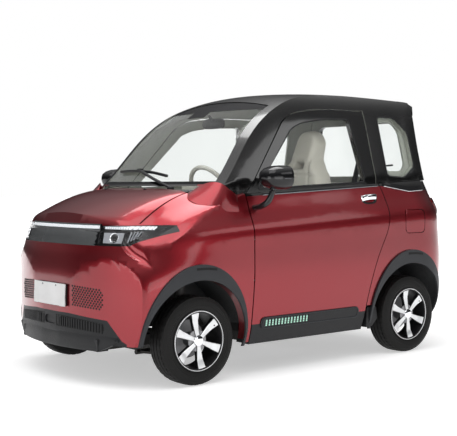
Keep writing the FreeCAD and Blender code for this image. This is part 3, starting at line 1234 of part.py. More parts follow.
def make_rear_axle():
    """Return the rear axle tube with its stubs, leaf springs and backing plates."""
    parts = [rod(AXLE_TUBE_RADIUS, V(-KINGPIN_X, REAR_AXLE_Y, AXLE_Z), V(KINGPIN_X, REAR_AXLE_Y, AXLE_Z)),
             rod(AXLE_RADIUS, V(-AXLE_END_X, REAR_AXLE_Y, AXLE_Z), V(AXLE_END_X, REAR_AXLE_Y, AXLE_Z))]
    for side in (1, -1):
        parts.append(rod(BRAKE_RADIUS, V(side * KINGPIN_X, REAR_AXLE_Y, AXLE_Z),
                         V(side * (KINGPIN_X + BRAKE_WALL), REAR_AXLE_Y, AXLE_Z)))
        middle_z = AXLE_Z - AXLE_TUBE_RADIUS - LEAF_WALL / 2
        low = V(side * SPRING_X - SPRING_WIDTH / 2, REAR_AXLE_Y, middle_z)
        front = V(low.x, REAR_AXLE_Y - LEAF_SPAN, LEAF_EYE_Z)
        rear = V(low.x, REAR_AXLE_Y + LEAF_SPAN, LEAF_EYE_Z)
        wire = Part.Wire([
            Part.Arc(front, low, rear).toShape(),
            Part.makeLine(rear, rear + Z_AXIS * LEAF_WALL),
            Part.Arc(rear + Z_AXIS * LEAF_WALL, low + Z_AXIS * LEAF_WALL, front + Z_AXIS * LEAF_WALL).toShape(),
            Part.makeLine(front + Z_AXIS * LEAF_WALL, front),
        ])
        parts.append(Part.Face(wire).extrude(V(SPRING_WIDTH, 0, 0)))
        for y in (REAR_AXLE_Y - LEAF_SPAN, REAR_AXLE_Y + LEAF_SPAN):
            inner = side * (RAIL_X + RAIL_HALF)
            outer = side * (SPRING_X + SPRING_WIDTH / 2)
            parts.append(rod(AXLE_RADIUS, V(inner, y, LEAF_EYE_Z + LEAF_WALL / 2),
                             V(outer, y, LEAF_EYE_Z + LEAF_WALL / 2)))
    return fused(parts)


def make_drive_motor():
    """Return the drive motor with its gearbox on the rear axle."""
    case = rod(MOTOR_RADIUS, V(-MOTOR_HALF, REAR_AXLE_Y, AXLE_Z), V(MOTOR_HALF, REAR_AXLE_Y, AXLE_Z))
    return largest(case.cut(rod(AXLE_TUBE_RADIUS, V(-CUT_REACH, REAR_AXLE_Y, AXLE_Z),
                                V(CUT_REACH, REAR_AXLE_Y, AXLE_Z))))


# Cabin interior
DASH_HALF = 600.0
DASH_PROFILE = ((-436.0, 690.0), (-395.0, 700.0), (-375.0, 860.0), (-392.0, 960.0), (-430.0, 1012.0),
                (-480.0, 1030.0), (-590.0, 1052.0), (-590.0, 1032.0), (-480.0, 1008.0), (-436.0, 985.0))
STEERING_CENTRE = V(285.0, -372.0, 1030.0)
STEERING_RADIUS = 175.0
STEERING_RIM = 14.0
STEERING_FACETS = 8
STEERING_SPOKE = 9.0
STEERING_LEAN = 27.0
STEERING_HUB = 45.0
STEERING_HUB_DEPTH = 34.0
COLUMN_RADIUS = 20.0
COLUMN_LENGTH = 90.0
SEAT_X = 290.0
SEAT_HALF = 225.0
CUSHION_FRONT_Y = -130.0
CUSHION_REAR_Y = 300.0
CUSHION_BOTTOM_Z = 420.0
CUSHION_TOP_Z = 560.0
BACK_WALL = 110.0
BACK_TOP_Z = 1410.0
BACK_LEAN = 130.0
HEAD_WALL = 85.0
BACK_SHOULDER_Z = 1130.0
BACK_OUTLINE = ((215.0, 420.0), (225.0, 900.0), (200.0, 1130.0), (130.0, 1240.0), (125.0, 1410.0))
BACK_RADIUS = 35.0
BACK_HOLE_HALF = 72.0
BACK_HOLE_BOTTOM_Z = 1168.0
BACK_HOLE_TOP_Z = 1226.0
BACK_HOLE_RADIUS = 22.0
CUSHION_RADIUS = 30.0
CUSHION_PROFILE = (
    (-130.0, 440.0), (150.0, 420.0), (300.0, 420.0), (300.0, 560.0), (165.0, 560.0), (60.0, 528.0), (-130.0, 572.0),
)
SEAT_BASE_HALF = 170.0
REAR_SEAT_HALF = 470.0
REAR_SEAT_FRONT_Y = 560.0
REAR_SEAT_TOP_Z = 720.0
REAR_BACK_Y = 960.0
REAR_BACK_TOP_Z = 1080.0


def make_dashboard():
    """Return the dashboard with its top pad under the windscreen and the steering column."""
    profile = prism_x(DASH_PROFILE, -DASH_HALF, DASH_HALF)
    inside = body_mass(BODY_WALL + FIT_GAP).common(bonnet_field(BONNET_WALL + FIT_GAP)).fuse(
        CABIN_INSIDE.common(ROOF_INSIDE).common(ABOVE_BELT))
    axis = steering_axis()
    start = STEERING_CENTRE - axis * (STEERING_HUB_DEPTH + FIT_GAP)
    column = rod(COLUMN_RADIUS, start, start - axis * COLUMN_LENGTH)
    return fused([largest(profile.common(inside)), column])


def steering_axis():
    """Return the direction from the dashboard to the driver along the steering column."""
    lean = math.radians(STEERING_LEAN)
    return V(0, math.cos(lean), math.sin(lean))


def make_steering_wheel():
    """Return the steering wheel with three spokes and its hub."""
    axis = steering_axis()
    down = axis.cross(X_AXIS)
    section = []
    for index in range(STEERING_FACETS):
        angle = 2 * math.pi * (index + 1 / 2) / STEERING_FACETS
        section.append(STEERING_CENTRE + X_AXIS * (STEERING_RADIUS + STEERING_RIM * math.cos(angle))
                       + axis * (STEERING_RIM * math.sin(angle)))
    rim = Part.Face(Part.makePolygon(section + section[:1])).revolve(STEERING_CENTRE, axis, 360)
    hub = rod(STEERING_HUB, STEERING_CENTRE - axis * STEERING_HUB_DEPTH, STEERING_CENTRE)
    parts = [rim, hub]
    for direction in (X_AXIS, -X_AXIS, down if down.z < 0 else -down):
        parts.append(rod(STEERING_SPOKE, STEERING_CENTRE - axis * STEERING_RIM,
                         STEERING_CENTRE + direction * STEERING_RADIUS))
    return fused(parts)


def seat_solids(x, half):
    """Return a front seat's cushion, back and base about one middle line."""
    cushion = prism_x(CUSHION_PROFILE, x - half, x + half, CUSHION_RADIUS)
    outline = (
        (CUSHION_REAR_Y - BACK_WALL, CUSHION_TOP_Z + FIT_GAP),
        (CUSHION_REAR_Y, CUSHION_TOP_Z + FIT_GAP),
        (CUSHION_REAR_Y + BACK_LEAN, BACK_TOP_Z),
        (CUSHION_REAR_Y + BACK_LEAN - HEAD_WALL, BACK_TOP_Z),
        (CUSHION_REAR_Y + BACK_LEAN / 2 - BACK_WALL, BACK_SHOULDER_Z),
    )
    back = prism_x(outline, x - half, x + half)
    front_view = [(x - across, z) for across, z in BACK_OUTLINE]
    front_view += [(x + across, z) for across, z in reversed(BACK_OUTLINE)]
    back = back.common(prism_y(front_view, CUSHION_FRONT_Y, CUT_REACH, BACK_RADIUS))
    hole = (
        (x - BACK_HOLE_HALF, BACK_HOLE_BOTTOM_Z),
        (x + BACK_HOLE_HALF, BACK_HOLE_BOTTOM_Z),
        (x + BACK_HOLE_HALF, BACK_HOLE_TOP_Z),
        (x - BACK_HOLE_HALF, BACK_HOLE_TOP_Z),
    )
    back = back.cut(prism_y(hole, CUSHION_FRONT_Y, CUT_REACH, BACK_HOLE_RADIUS))
    base = box(x - SEAT_BASE_HALF, x + SEAT_BASE_HALF, CUSHION_FRONT_Y + CROSS_WIDTH, CUSHION_REAR_Y - CROSS_WIDTH,
               RAIL_TOP_Z + SHEET, CUSHION_BOTTOM_Z - FIT_GAP)
    return cushion, largest(back), base


def make_front_seats():
    """Return the cushions and backs of both front seats."""
    solids = []
    for x in (SEAT_X, -SEAT_X):
        cushion, back, _ = seat_solids(x, SEAT_HALF)
        solids += [cushion, back]
    return Part.Compound(solids)


def make_seat_bases():
    """Return the bases under both front seats."""
    return Part.Compound([seat_solids(x, SEAT_HALF)[2] for x in (SEAT_X, -SEAT_X)])


def bench_block(front_y, rear_y, top_z):
    """Return a rounded block across the rear bench that stands on the deck."""
    bottom = DECK_Z + SHEET
    outline = ((front_y, bottom), (rear_y, bottom), (rear_y, top_z), (front_y, top_z))
    return prism_x(outline, -REAR_SEAT_HALF, REAR_SEAT_HALF, CUSHION_RADIUS)


def make_rear_seat():
    """Return the rear bench on the deck."""
    cushion = bench_block(REAR_SEAT_FRONT_Y, REAR_BACK_Y, REAR_SEAT_TOP_Z)
    back = bench_block(REAR_BACK_Y + FIT_GAP, REAR_BACK_Y + BACK_WALL, REAR_BACK_TOP_Z)
    return Part.Compound([cushion, back])


# Door mirror and handle
MIRROR_FRONT_Y = -425.0
MIRROR_REAR_Y = -275.0
MIRROR_INNER_X = 748.0
MIRROR_OUTER_X = 912.0
MIRROR_BOTTOM_Z = 1055.0
MIRROR_TOP_Z = 1192.0
MIRROR_ARM_RADIUS = 13.0
MIRROR_WAIST_Y = -375.0
MIRROR_FRONT_SHARE = 0.55
MIRROR_WAIST_SHARE = 0.9
MIRROR_CORNERS = 16
MIRROR_POWER = 0.6
MIRROR_FOOT = V(676.0, -375.0, 950.0)
HANDLE_OUTLINE = ((475.0, 962.0), (625.0, 972.0), (625.0, 1012.0), (475.0, 1004.0))
HANDLE_PROUD = 16.0


def make_mirror():
    """Return the left door mirror: a housing that narrows forwards, on its bent arm."""
    middle_x = (MIRROR_INNER_X + MIRROR_OUTER_X) / 2
    middle_z = (MIRROR_BOTTOM_Z + MIRROR_TOP_Z) / 2
    wires = []
    for y, share in ((MIRROR_FRONT_Y, MIRROR_FRONT_SHARE), (MIRROR_WAIST_Y, MIRROR_WAIST_SHARE), (MIRROR_REAR_Y, 1)):
        points = []
        for index in range(MIRROR_CORNERS):
            angle = 2 * math.pi * (index + 1 / 2) / MIRROR_CORNERS
            across = math.copysign(abs(math.cos(angle)) ** MIRROR_POWER, math.cos(angle))
            rise = math.copysign(abs(math.sin(angle)) ** MIRROR_POWER, math.sin(angle))
            points.append(V(middle_x + across * share * (MIRROR_OUTER_X - MIRROR_INNER_X) / 2, y,
                            middle_z + rise * share * (MIRROR_TOP_Z - MIRROR_BOTTOM_Z) / 2))
        wires.append(Part.makePolygon(points + points[:1]))
    housing = Part.makeLoft(wires, True, True)
    elbow = V(MIRROR_INNER_X + MIRROR_ARM_RADIUS, MIRROR_FOOT.y, MIRROR_FOOT.z + 2 * MIRROR_ARM_RADIUS)
    top = V(elbow.x + 3 * MIRROR_ARM_RADIUS, elbow.y, MIRROR_BOTTOM_Z + 2 * MIRROR_ARM_RADIUS)
    arm = [rod(MIRROR_ARM_RADIUS, MIRROR_FOOT, elbow), rod(MIRROR_ARM_RADIUS, elbow, top)]
    return largest(fused([housing] + arm).cut(body_mass(-FIT_GAP)))


def make_door_handle():
    """Return the left door's handle."""
    return body_layer(prism_x(HANDLE_OUTLINE, DOOR_INNER_X, CUT_REACH), -HANDLE_PROUD, -FIT_GAP)


def placed_wheel(shape, side, axle_y):
    """Return a wheel piece at one corner of the car."""
    piece = shape.copy() if side > 0 else mirrored(shape)
    piece.translate(V(side * WHEEL_PLANE_X, axle_y, AXLE_Z))
    return piece


def main():
    """Build and write every sub-part."""
    os.makedirs("parts", exist_ok=True)
    write("bonnet", make_bonnet())
    write("front_body", make_front_body())
    write("front_bumper", make_front_bumper())
    write("front_lamps", make_front_lamps())
    write("cowl", make_cowl())
    write("wiper", make_wiper())
    write_pair("door_panel", make_door_panel())
    write_pair("door_glass", make_door_glass())
    write_pair("door_trim", make_door_trim())
    write_pair("door_mirror", make_mirror())
    write_pair("door_handle", make_door_handle())
    write_pair("knuckle", make_knuckle())
    write("roof", make_roof())
    write("glazing", make_glazing())
    write("rear_body", make_rear_body())
    write("rear_bumper", make_rear_bumper())
    write("tailgate", make_tailgate())
    write("tailgate_glass", make_tailgate_glass())
    write("tail_lamps", make_tail_lamps())
    write("charge_flap", make_charge_flap())
    write("arch_flares", make_arch_flares())
    write("wheel_liners", make_wheel_liners())
    write("chassis_frame", make_chassis_frame())
    write("floor_pan", make_floor_pan())
    write("battery_pack", make_battery_pack())
    write("front_suspension", make_front_suspension())
    write("steering_rack", make_steering_rack())
    write("rear_axle", make_rear_axle())
    write("drive_motor", make_drive_motor())
    write("dashboard", make_dashboard())
    write("steering_wheel", make_steering_wheel())
    write("front_seats", make_front_seats())
    write("seat_bases", make_seat_bases())
    write("rear_seat", make_rear_seat())
    tyre = make_tyre()
    rim = make_rim()
    for name, side, axle_y in (("front_left", 1, FRONT_AXLE_Y), ("front_right", -1, FRONT_AXLE_Y),
                               ("rear_left", 1, REAR_AXLE_Y), ("rear_right", -1, REAR_AXLE_Y)):
        write("tyre_" + name, placed_wheel(tyre, side, axle_y))
        write("wheel_" + name, placed_wheel(rim, side, axle_y))


if __name__ == "__main__":
    main()
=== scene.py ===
import json
import math
import bmesh
import bpy
from mathutils import Matrix, Vector
from mathutils.bvhtree import BVHTree

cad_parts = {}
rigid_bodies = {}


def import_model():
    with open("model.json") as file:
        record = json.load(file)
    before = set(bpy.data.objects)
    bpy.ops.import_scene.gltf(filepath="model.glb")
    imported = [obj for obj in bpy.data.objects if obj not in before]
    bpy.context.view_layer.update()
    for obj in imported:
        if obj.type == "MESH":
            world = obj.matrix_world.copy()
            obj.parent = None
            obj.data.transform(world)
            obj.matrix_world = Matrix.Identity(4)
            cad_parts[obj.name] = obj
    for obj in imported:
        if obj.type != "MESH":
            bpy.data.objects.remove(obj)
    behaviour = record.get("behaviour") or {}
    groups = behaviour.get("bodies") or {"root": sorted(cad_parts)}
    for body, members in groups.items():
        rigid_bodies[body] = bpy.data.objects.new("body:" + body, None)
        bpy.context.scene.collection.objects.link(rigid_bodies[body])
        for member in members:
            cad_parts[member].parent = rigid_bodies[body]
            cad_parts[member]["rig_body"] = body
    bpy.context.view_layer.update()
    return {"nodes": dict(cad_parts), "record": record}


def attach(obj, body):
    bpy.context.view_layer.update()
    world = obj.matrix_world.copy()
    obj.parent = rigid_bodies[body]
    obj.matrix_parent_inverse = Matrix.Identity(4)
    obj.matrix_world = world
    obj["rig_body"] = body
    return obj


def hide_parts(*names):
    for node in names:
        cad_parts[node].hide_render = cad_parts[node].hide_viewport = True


bl_info = {
    "name": "Electric Microcar",
    "version": (1, 0, 0),
    "blender": (4, 5, 0),
    "location": "View3D > Sidebar > Microcar",
    "description": "Dresses the packed frame of a small electric car with paint, lamps, wheels and cabin",
    "category": "Object",
}

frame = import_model()
JOINTS = {joint["name"]: joint["pos_m"] for joint in frame["record"]["behaviour"]["joints"]}
HELM = Vector(JOINTS["steering_wheel_turn"])
SIDES = (("left", 1), ("right", -1))
AXES = (Vector((1.0, 0.0, 0.0)), Vector((0.0, 1.0, 0.0)), Vector((0.0, 0.0, 1.0)))
FORWARD = AXES[1]

# Wheels: the axles' places in metres, and each corner's name, side, axle, body and caliper's carrier
WHEEL_X, FRONT_AXLE_Y, AXLE_Z = JOINTS["front_left_spin"]
REAR_AXLE_Y = JOINTS["rear_left_spin"][1]
CORNERS = (
    ("front_left", 1, FRONT_AXLE_Y, "wheel_fl", "steer_left"),
    ("front_right", -1, FRONT_AXLE_Y, "wheel_fr", "steer_right"),
    ("rear_left", 1, REAR_AXLE_Y, "wheel_rl", "car"),
    ("rear_right", -1, REAR_AXLE_Y, "wheel_rr", "car"),
)

# Planes from which rays are sent, and guide planes near the skin
BEFORE_Y = -2.5
BEHIND_Y = 2.5
ABOVE_Z = 2.0
BESIDE_X = 2.0
NOSE_Y = -1.2
SKIN_X = 0.7
CABIN_X = 0.30

# Doors' belt line: its height at y = 0 and its slope
BELT_HEIGHT = 1.0365
BELT_RISE = 0.0444

# Front wings' feet: red below a line where y and z add up to a sum, with a top, and outside the cowl
WING_FOOT_SUM = 0.526
WING_FOOT_TOP = 1.088
COWL_HALF = 0.47

# Quarter lights' lower edge: two straight stretches, each with a y, the height there and a slope
QUARTER_EDGES = ((0.70, 1.062, -0.16), (0.93, 1.028, 0.05))

# Windscreen's printed bands
SCREEN_TOP_BAND = 1.533
SCREEN_LOW_BAND = 1.104
SCREEN_END_Y = 0.3
PATCH_OFFSET = 0.02
PATCH_HALF = 0.085
PATCH_BOTTOM = 1.497

# Headlamps, wheels and seats
LAMP_BARS = 4
SPOKES = 6
SPOKE_LEAN = 8.0
BOLTS = 4
SEAT_X = 0.29


# Materials

class Finish:
    """Builds one procedural material around a Principled shader."""

    def __init__(self, name, **constants):
        """Start a material and set the shader's constant values."""
        self.material = bpy.data.materials.new(name)
        self.material.use_nodes = True
        self.nodes = self.material.node_tree.nodes
        self.links = self.material.node_tree.links
        self.surface = self.nodes["Principled BSDF"]
        self.place = self.nodes.new("ShaderNodeTexCoord")
        for key, value in constants.items():
            socket = self.surface.inputs[key.replace("_", " ")]
            socket.default_value = (*value, 1.0) if isinstance(value, tuple) else value

    def spot(self, stretch=(1.0, 1.0, 1.0)):
        """Return Object coordinates with a stretch along each axis."""
        mapping = self.nodes.new("ShaderNodeMapping")
        mapping.inputs["Scale"].default_value = stretch
        self.links.new(self.place.outputs["Object"], mapping.inputs["Vector"])
        return mapping.outputs["Vector"]

    def noise(self, scale, detail=2.0, stretch=(1.0, 1.0, 1.0)):
        """Return a noise value."""
        noise = self.nodes.new("ShaderNodeTexNoise")
        noise.inputs["Scale"].default_value = scale
        noise.inputs["Detail"].default_value = detail
        self.links.new(self.spot(stretch), noise.inputs["Vector"])
        return noise.outputs["Fac"]

    def cells(self, scale, stretch=(1.0, 1.0, 1.0)):
        """Return the distance to the nearest cell point."""
        cells = self.nodes.new("ShaderNodeTexVoronoi")
        cells.inputs["Scale"].default_value = scale
        self.links.new(self.spot(stretch), cells.inputs["Vector"])
        return cells.outputs["Distance"]

    def math(self, operation, *values):
        """Return the result of one Math node."""
        node = self.nodes.new("ShaderNodeMath")
        node.operation = operation
        for socket, value in zip(node.inputs, values):
            if isinstance(value, (int, float)):
                socket.default_value = value
            else:
                self.links.new(value, socket)
        return node.outputs[0]

    def axes(self):
        """Return the separate Object coordinates."""
        split = self.nodes.new("ShaderNodeSeparateXYZ")
        self.links.new(self.place.outputs["Object"], split.inputs[0])
        return split.outputs

    def span(self, value, low, high):
        """Return a value from 0 to 1 carried onto a range."""
        node = self.nodes.new("ShaderNodeMapRange")
        node.inputs["To Min"].default_value = low
        node.inputs["To Max"].default_value = high
        self.links.new(value, node.inputs["Value"])
        return node.outputs["Result"]

    def mix(self, share, first, second):
        """Return a colour between two colours by a share."""
        node = self.nodes.new("ShaderNodeMix")
        node.data_type = "RGBA"
        for index, value in ((6, first), (7, second)):
            if isinstance(value, tuple):
                node.inputs[index].default_value = (*value, 1.0)
            else:
                self.links.new(value, node.inputs[index])
        self.links.new(share, node.inputs[0])
        return node.outputs[2]

    def drive(self, name, value):
        """Link a value to one of the surface's sockets."""
        self.links.new(value, self.surface.inputs[name])
        return self

    def bump(self, height, distance, strength=0.3):
        """Raise the surface's grain by a height value."""
        bump = self.nodes.new("ShaderNodeBump")
        bump.inputs["Distance"].default_value = distance
        bump.inputs["Strength"].default_value = strength
        self.links.new(height, bump.inputs["Height"])
        self.links.new(bump.outputs["Normal"], self.surface.inputs["Normal"])
        return self


def tuned(color, factor):
    """Return a colour made lighter or darker."""
    return tuple(min(channel * factor, 1.0) for channel in color[:3])


def car_paint(name, settings, mask=None, coat=0.11):
    """Return the metallic paint, with gloss black wherever a mask of the place says so."""
    finish = Finish(name, Coat_Weight=0.8, Coat_Roughness=coat)
    grain = finish.noise(1400.0, detail=1.0)
    haze = finish.span(grain, 0.30, 0.38)
    red = finish.mix(grain, tuned(settings.body_color, 0.8), tuned(settings.body_color, 1.2))
    if mask:
        black = mask(finish, finish.axes())
        red = finish.mix(black, red, (0.005, 0.005, 0.005))
        flaked = finish.math("MULTIPLY", finish.math("SUBTRACT", 1.0, black), settings.flake)
        finish.drive("Metallic", flaked)
        haze = finish.math("MULTIPLY", haze, finish.math("MULTIPLY_ADD", black, -0.8, 1.0))
    else:
        finish.surface.inputs["Metallic"].default_value = settings.flake
    finish.drive("Roughness", haze)
    finish.drive("Base Color", red)
    return finish.bump(finish.noise(60.0, detail=1.0), distance=0.0003, strength=0.03).material


def above_belt(finish, axes):
    """Return the doors' share above the belt line."""
    belt = finish.math("MULTIPLY_ADD", axes[1], BELT_RISE, BELT_HEIGHT)
    return finish.math("GREATER_THAN", axes[2], belt)


def above_wing(finish, axes):
    """Return the roof foot's and cowl's share that isn't part of the red wings."""
    rise = finish.math("SUBTRACT", WING_FOOT_SUM, axes[1])
    line = finish.math("MINIMUM", rise, WING_FOOT_TOP)
    high = finish.math("GREATER_THAN", axes[2], line)
    middle = finish.math("LESS_THAN", finish.math("ABSOLUTE", axes[0]), COWL_HALF)
    return finish.math("MAXIMUM", high, middle)


def above_quarter(finish, axes):
    """Return the rear wings' share above the quarter lights' dipped lower edge."""
    dip, back = (finish.math("MULTIPLY_ADD", finish.math("SUBTRACT", axes[1], start), slope, height)
                 for start, height, slope in QUARTER_EDGES)
    return finish.math("GREATER_THAN", axes[2], finish.math("MAXIMUM", dip, back))


def roof_paint():
    """Return the satin black of the roof and pillars."""
    finish = Finish("roof_paint", Coat_Weight=0.4, Coat_Roughness=0.14, Specular_IOR_Level=0.35)
    grain = finish.noise(700.0, detail=1.0)
    finish.drive("Base Color", finish.mix(grain, (0.006, 0.006, 0.006), (0.010, 0.010, 0.010)))
    finish.drive("Roughness", finish.span(grain, 0.24, 0.34))
    return finish.bump(finish.noise(50.0, detail=1.0), distance=0.0004, strength=0.04).material


def grained(name, color, roughness=0.55, grain=500.0, depth=0.0006):
    """Return a moulded plastic with a fine pebbled grain."""
    finish = Finish(name, Specular_IOR_Level=0.3)
    tone = finish.noise(9.0, detail=3.0)
    finish.drive("Base Color", finish.mix(tone, tuned(color, 0.85), tuned(color, 1.15)))
    finish.drive("Roughness", finish.span(finish.noise(40.0, detail=2.0), roughness - 0.06, roughness + 0.06))
    return finish.bump(finish.cells(grain), distance=depth, strength=0.35).material


def polished(name, first, second, low=0.08, high=0.16, **constants):
    """Return a polished surface with faint tone and haze changes."""
    finish = Finish(name, **constants)
    tone = finish.noise(30.0, detail=2.0)
    finish.drive("Base Color", finish.mix(tone, first, second))
    finish.drive("Roughness", finish.span(tone, low, high))
    return finish.material


def window_glass(name, dark, mask=None):
    """Return tinted glass, with a black printed band where a mask of the place says so."""
    finish = Finish(name, IOR=1.18)
    tone = finish.noise(4.0, detail=1.0)
    tint = finish.mix(tone, (dark, dark * 1.02, dark * 1.01), (dark * 1.02, dark * 1.04, dark * 1.03))
    if mask:
        band = mask(finish, finish.axes())
        tint = finish.mix(band, tint, (0.010, 0.010, 0.011))
        finish.drive("Transmission Weight", finish.math("SUBTRACT", 1.0, band))
        finish.drive("Roughness", finish.math("MULTIPLY", band, 0.12))
    else:
        finish.surface.inputs["Transmission Weight"].default_value = 1.0
        finish.drive("Roughness", finish.span(tone, 0.0, 0.01))
    finish.drive("Base Color", tint)
    return finish.material


def screen_band(finish, axes):
    """Return the windscreen's printed bands with the mirror patch."""
    top = finish.math("GREATER_THAN", axes[2], SCREEN_TOP_BAND)
    low = finish.math("LESS_THAN", axes[2], SCREEN_LOW_BAND)
    aside = finish.math("ABSOLUTE", finish.math("ADD", axes[0], PATCH_OFFSET))
    near = finish.math("LESS_THAN", aside, PATCH_HALF)
    patch = finish.math("MULTIPLY", near, finish.math("GREATER_THAN", axes[2], PATCH_BOTTOM))
    front = finish.math("LESS_THAN", axes[1], SCREEN_END_Y)
    bands = finish.math("MAXIMUM", finish.math("MAXIMUM", top, low), patch)
    return finish.math("MULTIPLY", bands, front)


def metal(name, color, roughness=0.24, metallic=1.0, stretch=(6.0, 1.0, 1.0)):
    """Return bare metal with fine machining marks."""
    finish = Finish(name, Metallic=metallic)
    marks = finish.noise(160.0, detail=3.0, stretch=stretch)
    finish.drive("Base Color", finish.mix(marks, tuned(color, 0.94), tuned(color, 1.03)))
    finish.drive("Roughness", finish.span(marks, roughness - 0.04, roughness + 0.06))
    return finish.bump(marks, distance=0.0001, strength=0.04).material


def dusty(name, clean, dust, low, high, scale=14.0, grain=420.0, **constants):
    """Return a dark surface with faint dust and fine grain."""
    finish = Finish(name, **constants)
    spread = finish.noise(scale, detail=4.0)
    finish.drive("Base Color", finish.mix(spread, clean, dust))
    finish.drive("Roughness", finish.span(spread, low, high))
    return finish.bump(finish.noise(grain, detail=2.0), distance=0.0006, strength=0.3).material


def leather(name, color):
    """Return upholstery with a fine pebble and soft tone changes."""
    finish = Finish(name, Sheen_Weight=0.15)
    tone = finish.noise(7.0, detail=3.0)
    finish.drive("Base Color", finish.mix(tone, tuned(color, 0.86), tuned(color, 1.08)))
    finish.drive("Roughness", finish.span(tone, 0.48, 0.62))
    return finish.bump(finish.cells(260.0), distance=0.0012, strength=0.35).material


def webbing():
    """Return the belts' woven webbing."""
    finish = Finish("webbing")
    weave = finish.math("SINE", finish.math("MULTIPLY", finish.axes()[2], 2600.0))
    finish.drive("Base Color", finish.mix(finish.noise(60.0), (0.012, 0.013, 0.016), (0.028, 0.030, 0.036)))
    finish.drive("Roughness", finish.span(finish.noise(90.0), 0.5, 0.7))
    return finish.bump(weave, distance=0.0004, strength=0.4).material


def glowing_strip(name, color, strength, pitch=0.008, axis=0):
    """Return a glowing strip whose small cells are divided by darker gaps: a lamp's light on lamps, painted
    glow on parts that are no lamp.
    """
    finish = Finish(name, Roughness=0.3)
    phase = finish.math("FRACT", finish.math("MULTIPLY", finish.axes()[axis], 1.0 / pitch))
    cell = finish.math("GREATER_THAN", phase, 0.28)
    share = finish.span(cell, 0.4, 1.0)
    finish.drive("Base Color", finish.mix(cell, tuned(color, 0.45), color))
    finish.drive("Emission Color", finish.mix(cell, tuned(color, 0.45), color))
    finish.drive("Emission Strength", finish.math("MULTIPLY", share, strength))
    return finish.material


def red_lens():
    """Return the tail lamps' ribbed red plastic."""
    finish = Finish("red_lens", Coat_Weight=1.0, Coat_Roughness=0.02)
    ribs = finish.math("FRACT", finish.math("MULTIPLY", finish.axes()[2], 160.0))
    finish.drive("Base Color", finish.mix(ribs, (0.16, 0.004, 0.008), (0.30, 0.010, 0.014)))
    finish.drive("Roughness", finish.span(ribs, 0.12, 0.2))
    return finish.material


FINISHES = {}


def make_materials():
    """Build every finish once."""
    settings = bpy.context.scene.microcar_paint
    FINISHES.update({
        "red": car_paint("body_paint", settings),
        "door": car_paint("door_paint", settings, mask=above_belt),
        "wing": car_paint("pillar_paint", settings, mask=above_wing, coat=0.20),
        "rear": car_paint("rear_paint", settings, mask=above_quarter),
        "roof": roof_paint(),
        "trim": grained("black_trim", (0.012, 0.0125, 0.014), roughness=0.45),
        "flare": grained("flare_grey", (0.030, 0.032, 0.036), roughness=0.42),
        # Near-black painted shade for holes, slots, the intake and vents drawn on surfaces instead of cut;
        # the wiper's rubber uses it as its own black.
        "slot": grained("grille_shadow", (0.004, 0.004, 0.004), roughness=0.6),
        "gloss": polished("gloss_black", (0.008, 0.008, 0.009), (0.010, 0.010, 0.011), Coat_Weight=0.15,
                          Coat_Roughness=0.05, Specular_IOR_Level=0.3),
        "screen": window_glass("screen_glass", dark=0.93, mask=screen_band),
        "glass": window_glass("side_glass", dark=0.93),
        "lens": polished("clear_lens", (0.95, 0.95, 0.96), (0.98, 0.98, 0.98), low=0.0, high=0.02,
                         Transmission_Weight=1.0, IOR=1.06),
        "alloy": metal("machined_alloy", (0.86, 0.87, 0.88), roughness=0.30, metallic=0.55,
                       stretch=(1.0, 1.0, 1.0)),
        "pocket": grained("wheel_pocket", (0.010, 0.010, 0.011), roughness=0.35, grain=900.0, depth=0.0003),
        "tyre": dusty("tyre_rubber", (0.004, 0.004, 0.004), (0.010, 0.0095, 0.009), low=0.55, high=0.70,
                      Specular_IOR_Level=0.25),
        "leather": leather("pale_leather", (0.60, 0.57, 0.50)),
        "dash": grained("cabin_plastic", (0.46, 0.45, 0.41), roughness=0.5),
        "lining": leather("cabin_lining", (0.34, 0.35, 0.31)),
        "carpet": dusty("carpet", (0.020, 0.020, 0.021), (0.035, 0.034, 0.032), low=0.85, high=0.95,
                        scale=30.0, grain=900.0),
        "steel": dusty("steel_paint", (0.016, 0.016, 0.017), (0.050, 0.047, 0.042), low=0.45, high=0.75,
                       scale=11.0, grain=160.0),
        "cast": metal("cast_alloy", (0.34, 0.34, 0.35), roughness=0.5, metallic=0.8, stretch=(1.0, 1.0, 1.0)),
        "chrome": polished("chrome_metal", (0.80, 0.81, 0.83), (0.86, 0.87, 0.89), low=0.05, high=0.10,
                           Metallic=1.0),
        "silver": metal("lamp_silver", (0.30, 0.31, 0.33), roughness=0.34, metallic=0.6),
        "tail": red_lens(),
        "led": glowing_strip("white_led", (0.80, 0.83, 0.86), strength=0.45),
        "beads": glowing_strip("lamp_beads", (0.72, 0.75, 0.78), strength=0.30, pitch=0.013),
        "red_led": glowing_strip("red_led", (0.75, 0.02, 0.02), strength=0.8),
        # The garnish's green bars are no lamp: their emission is painted glow.
        "green": glowing_strip("painted_glow_green_bars", (0.42, 0.72, 0.58), strength=0.35, pitch=0.012, axis=2),
        # The bar panel's grey base colour is partly painted reflection of the surroundings on a dark glossy
        # panel.
        "bar": polished("bar_panel_painted_reflection", (0.080, 0.084, 0.086), (0.095, 0.099, 0.102), low=0.20, high=0.26,
                        Coat_Weight=1.0, Coat_Roughness=0.12),
        "smoke": polished("smoked_lens", (0.030, 0.004, 0.005), (0.045, 0.006, 0.007), low=0.08, high=0.12,
                          Coat_Weight=0.6),
        "plate": grained("blank_plate", (0.92, 0.92, 0.91), roughness=0.35, grain=260.0, depth=0.0003),
        "belt": webbing(),
    })


# Mesh helpers

